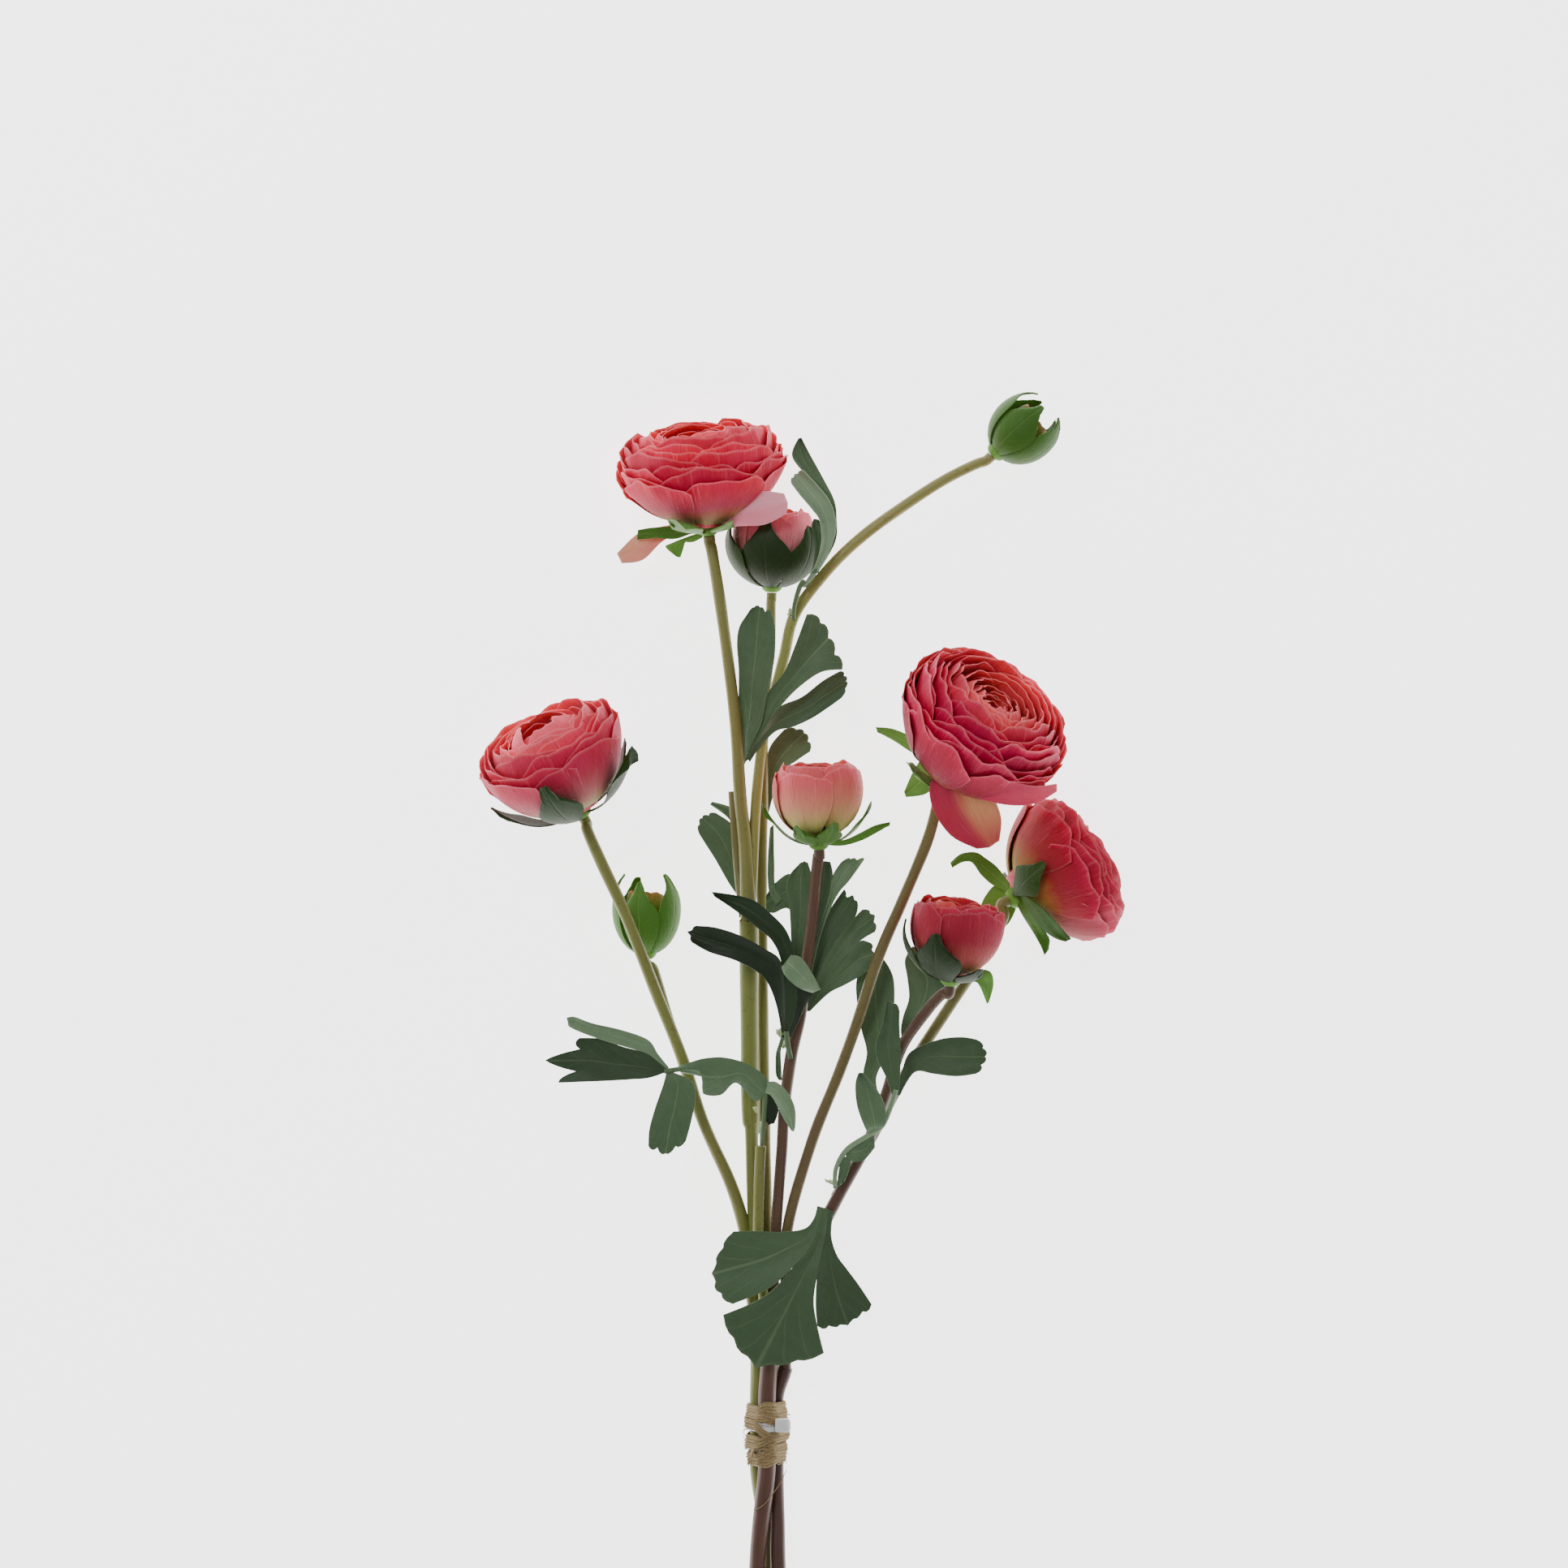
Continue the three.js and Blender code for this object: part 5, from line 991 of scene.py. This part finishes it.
# place along the stems, clearance, width, slope, skew, folds
WRAPS = [
    (9.2, GAP + 0.05, 4.8, 0.5, 0.6, 4), (8.2, GAP + 0.5, 3.0, -0.9, 0.3, 3),
    (5.6, OVER_TIE - 0.45, 3.4, -1.0, 0.6, 3), (2.4, OVER_TIE + 0.05, 3.6, -2.4, -2.0, 3),
    (-1.4, OVER_TIE - 0.5, 4.2, 1.2, -0.6, 4), (-4.3, OVER_TIE - 0.7, 4.6, -1.6, 0.4, 4),
    (-2.6, OVER_TIE + 0.1, 2.2, 2.2, 0.5, 2), (-8.4, GAP + 0.05, 5.4, 0.8, -0.5, 5),
    (-7.0, GAP + 0.5, 2.6, 1.8, 0.9, 2),
]
for y, out, width, slope, skew, folds in WRAPS:
    winding(skin, y, ribbon(width, out, 0.22, folds, 0.55, rng), slope, skew, pr=rng.uniform())
for _ in range(26):                       # loose fibres on the wraps
    y, r = rng.uniform(-10, 10.5), 0.14
    out = (OVER_TIE if -6.5 < y < 7 else GAP) + rng.uniform(0.75, 0.95)
    start = rng.uniform(0, TAU)
    winding(skin, y, lambda a: np.array([[-r, out], [0, out + r], [r, out], [0, out - r]]),
            rng.uniform(-2, 2), rng.uniform(-1.5, 1.5), rng.uniform(), (start, start + rng.uniform(0.8, 2.6)))
for k in range(6):                        # the frayed end of the wrap
    x, z = 0.7 * k, 14 + 0.35 * k
    line = [[929 + 0.5 * k, 1784, 13.0 + 0.2 * k, 0.42], [926 + x * 0.4, 1790, z - 0.4, 0.34],
            [923.5 + x * 0.8, 1797 + rng.uniform(-2, 2), z - 0.2, 0.26],
            [919 + 1.6 * x + rng.uniform(-1, 1), 1804 + rng.uniform(-3, 3), z, 0.14]]
    skin.tube(spline(rod(line), 5), 7, pr=rng.uniform())
THREAD = "969 1811 11.6 0.16, 962 1826 12.2 0.16, 951 1842 15.1 0.16, 940 1855 15.5 0.16, 929 1861 14.6 0.16"
skin.tube(spline(rod(places(THREAD)), 8), 6, pr=0.9)
skin.piece("raffia_ribbons", raffia, "raffia_wrap")

skin = Skin()


def strap(a):
    """The flat strap, with a raised rim at each side and fine teeth across it."""
    w, h, o = 1.7, TIE_THICK, GAP
    tooth = 0.1 * (0.5 + 0.5 * np.sin(a * 60))
    top, groove = o + h, o + h - 0.16 - tooth
    return np.array([[-w, o + 0.1], [-w + 0.1, o], [w - 0.1, o], [w, o + 0.1], [w, top - 0.12],
                     [w - 0.12, top], [w - 0.4, top], [w - 0.5, groove], [-w + 0.5, groove],
                     [-w + 0.4, top], [-w + 0.12, top], [-w, top - 0.12]])


winding(skin, TIE_UP, strap)
hx, hy, hz = at([964, TIED_AT, 15.4]) + [0, TIE_UP, 0]


def box_loop(y, z, bevel, n):
    """A rounded rectangle across the strap, n points a corner."""
    out = []
    for k, (sy, sz) in enumerate(((1, 1), (-1, 1), (-1, -1), (1, -1))):
        for a in np.linspace(0, np.pi / 2, n) + k * np.pi / 2:
            out.append([sy * (y - bevel) + bevel * np.cos(a), sz * (z - bevel) + bevel * np.sin(a)])
    return np.array(out)


def across_tie(x, ring):
    """A loop set at x from the middle of the tie's head."""
    return np.stack([np.full(len(ring), hx + x), hy + ring[:, 0], hz + ring[:, 1]], -1)


# The head is a block with a slot through it, and the cut end of the strap stands in the slot.
outer, slot = box_loop(2.5, 1.75, 0.5, 5), box_loop(1.8, 0.62, 0.15, 5) + [0, 0.35]
block = [across_tie(x, ring) for x, ring in (
    (-2.7, slot), (-2.7, outer * 0.93), (-2.45, outer), (2.2, outer), (2.55, outer * 0.94),
    (2.7, outer * 0.84), (2.7, slot))]
skin.rings(block, np.arange(7) / 6, closed=True)
tail = box_loop(1.6, 0.42, 0.12, 3) + [0, 0.35]
skin.rings([across_tie(x, tail) for x in (-2.68, 2.2, 3.0, 3.05)], np.arange(4) / 3)
skin.piece("cable_tie_strap", nylon, "cable_tie")

# ---- table, light, camera ----
bpy.ops.mesh.primitive_plane_add(size=14, location=(0, 0, -0.0004))
table = bpy.context.object
table.name = "table"
paper = Paint("table", 0.85, Specular_IOR_Level=0.2, Emission_Color=(1, 1, 1, 1), Emission_Strength=3.2)
white = paper.blend(paper.noise(2.0), colour(246, 247, 248), colour(250, 250, 251))
table.data.materials.append(paper.finish(white))


def lamp(name, place, size, power):
    """A round soft light that looks at the middle of the bunch."""
    data = bpy.data.lights.new(name, "AREA")
    data.shape, data.size, data.energy = "DISK", size, power
    obj = bpy.data.objects.new(name, data)
    bpy.context.scene.collection.objects.link(obj)
    obj.location = place
    x, y, z = np.subtract((0, 0, 0.02), place)
    obj.rotation_euler = (math.atan2(math.hypot(x, y), -z), 0, math.atan2(x, -y))


lamp("key", (-0.7, 0.9, 1.7), 0.9, 28)
lamp("fill", (1.1, -0.5, 1.4), 1.4, 6)
world = bpy.data.worlds.new("studio")
world.use_nodes = True
world.node_tree.nodes["Background"].inputs["Color"].default_value = (1, 1, 1, 1)
world.node_tree.nodes["Background"].inputs["Strength"].default_value = 0.5
bpy.context.scene.world = world

camera = bpy.data.cameras.new("camera")
camera.sensor_width = 36
camera.lens = 36 * (EYE - LEVEL) / (2 * CENTRE_PX * MM_PER_PX)
camera.clip_end = 20
eye = bpy.data.objects.new("camera", camera)
eye.location = (SHIFT[0] * MM, SHIFT[1] * MM, EYE * MM)
bpy.context.scene.collection.objects.link(eye)
bpy.context.scene.camera = eye
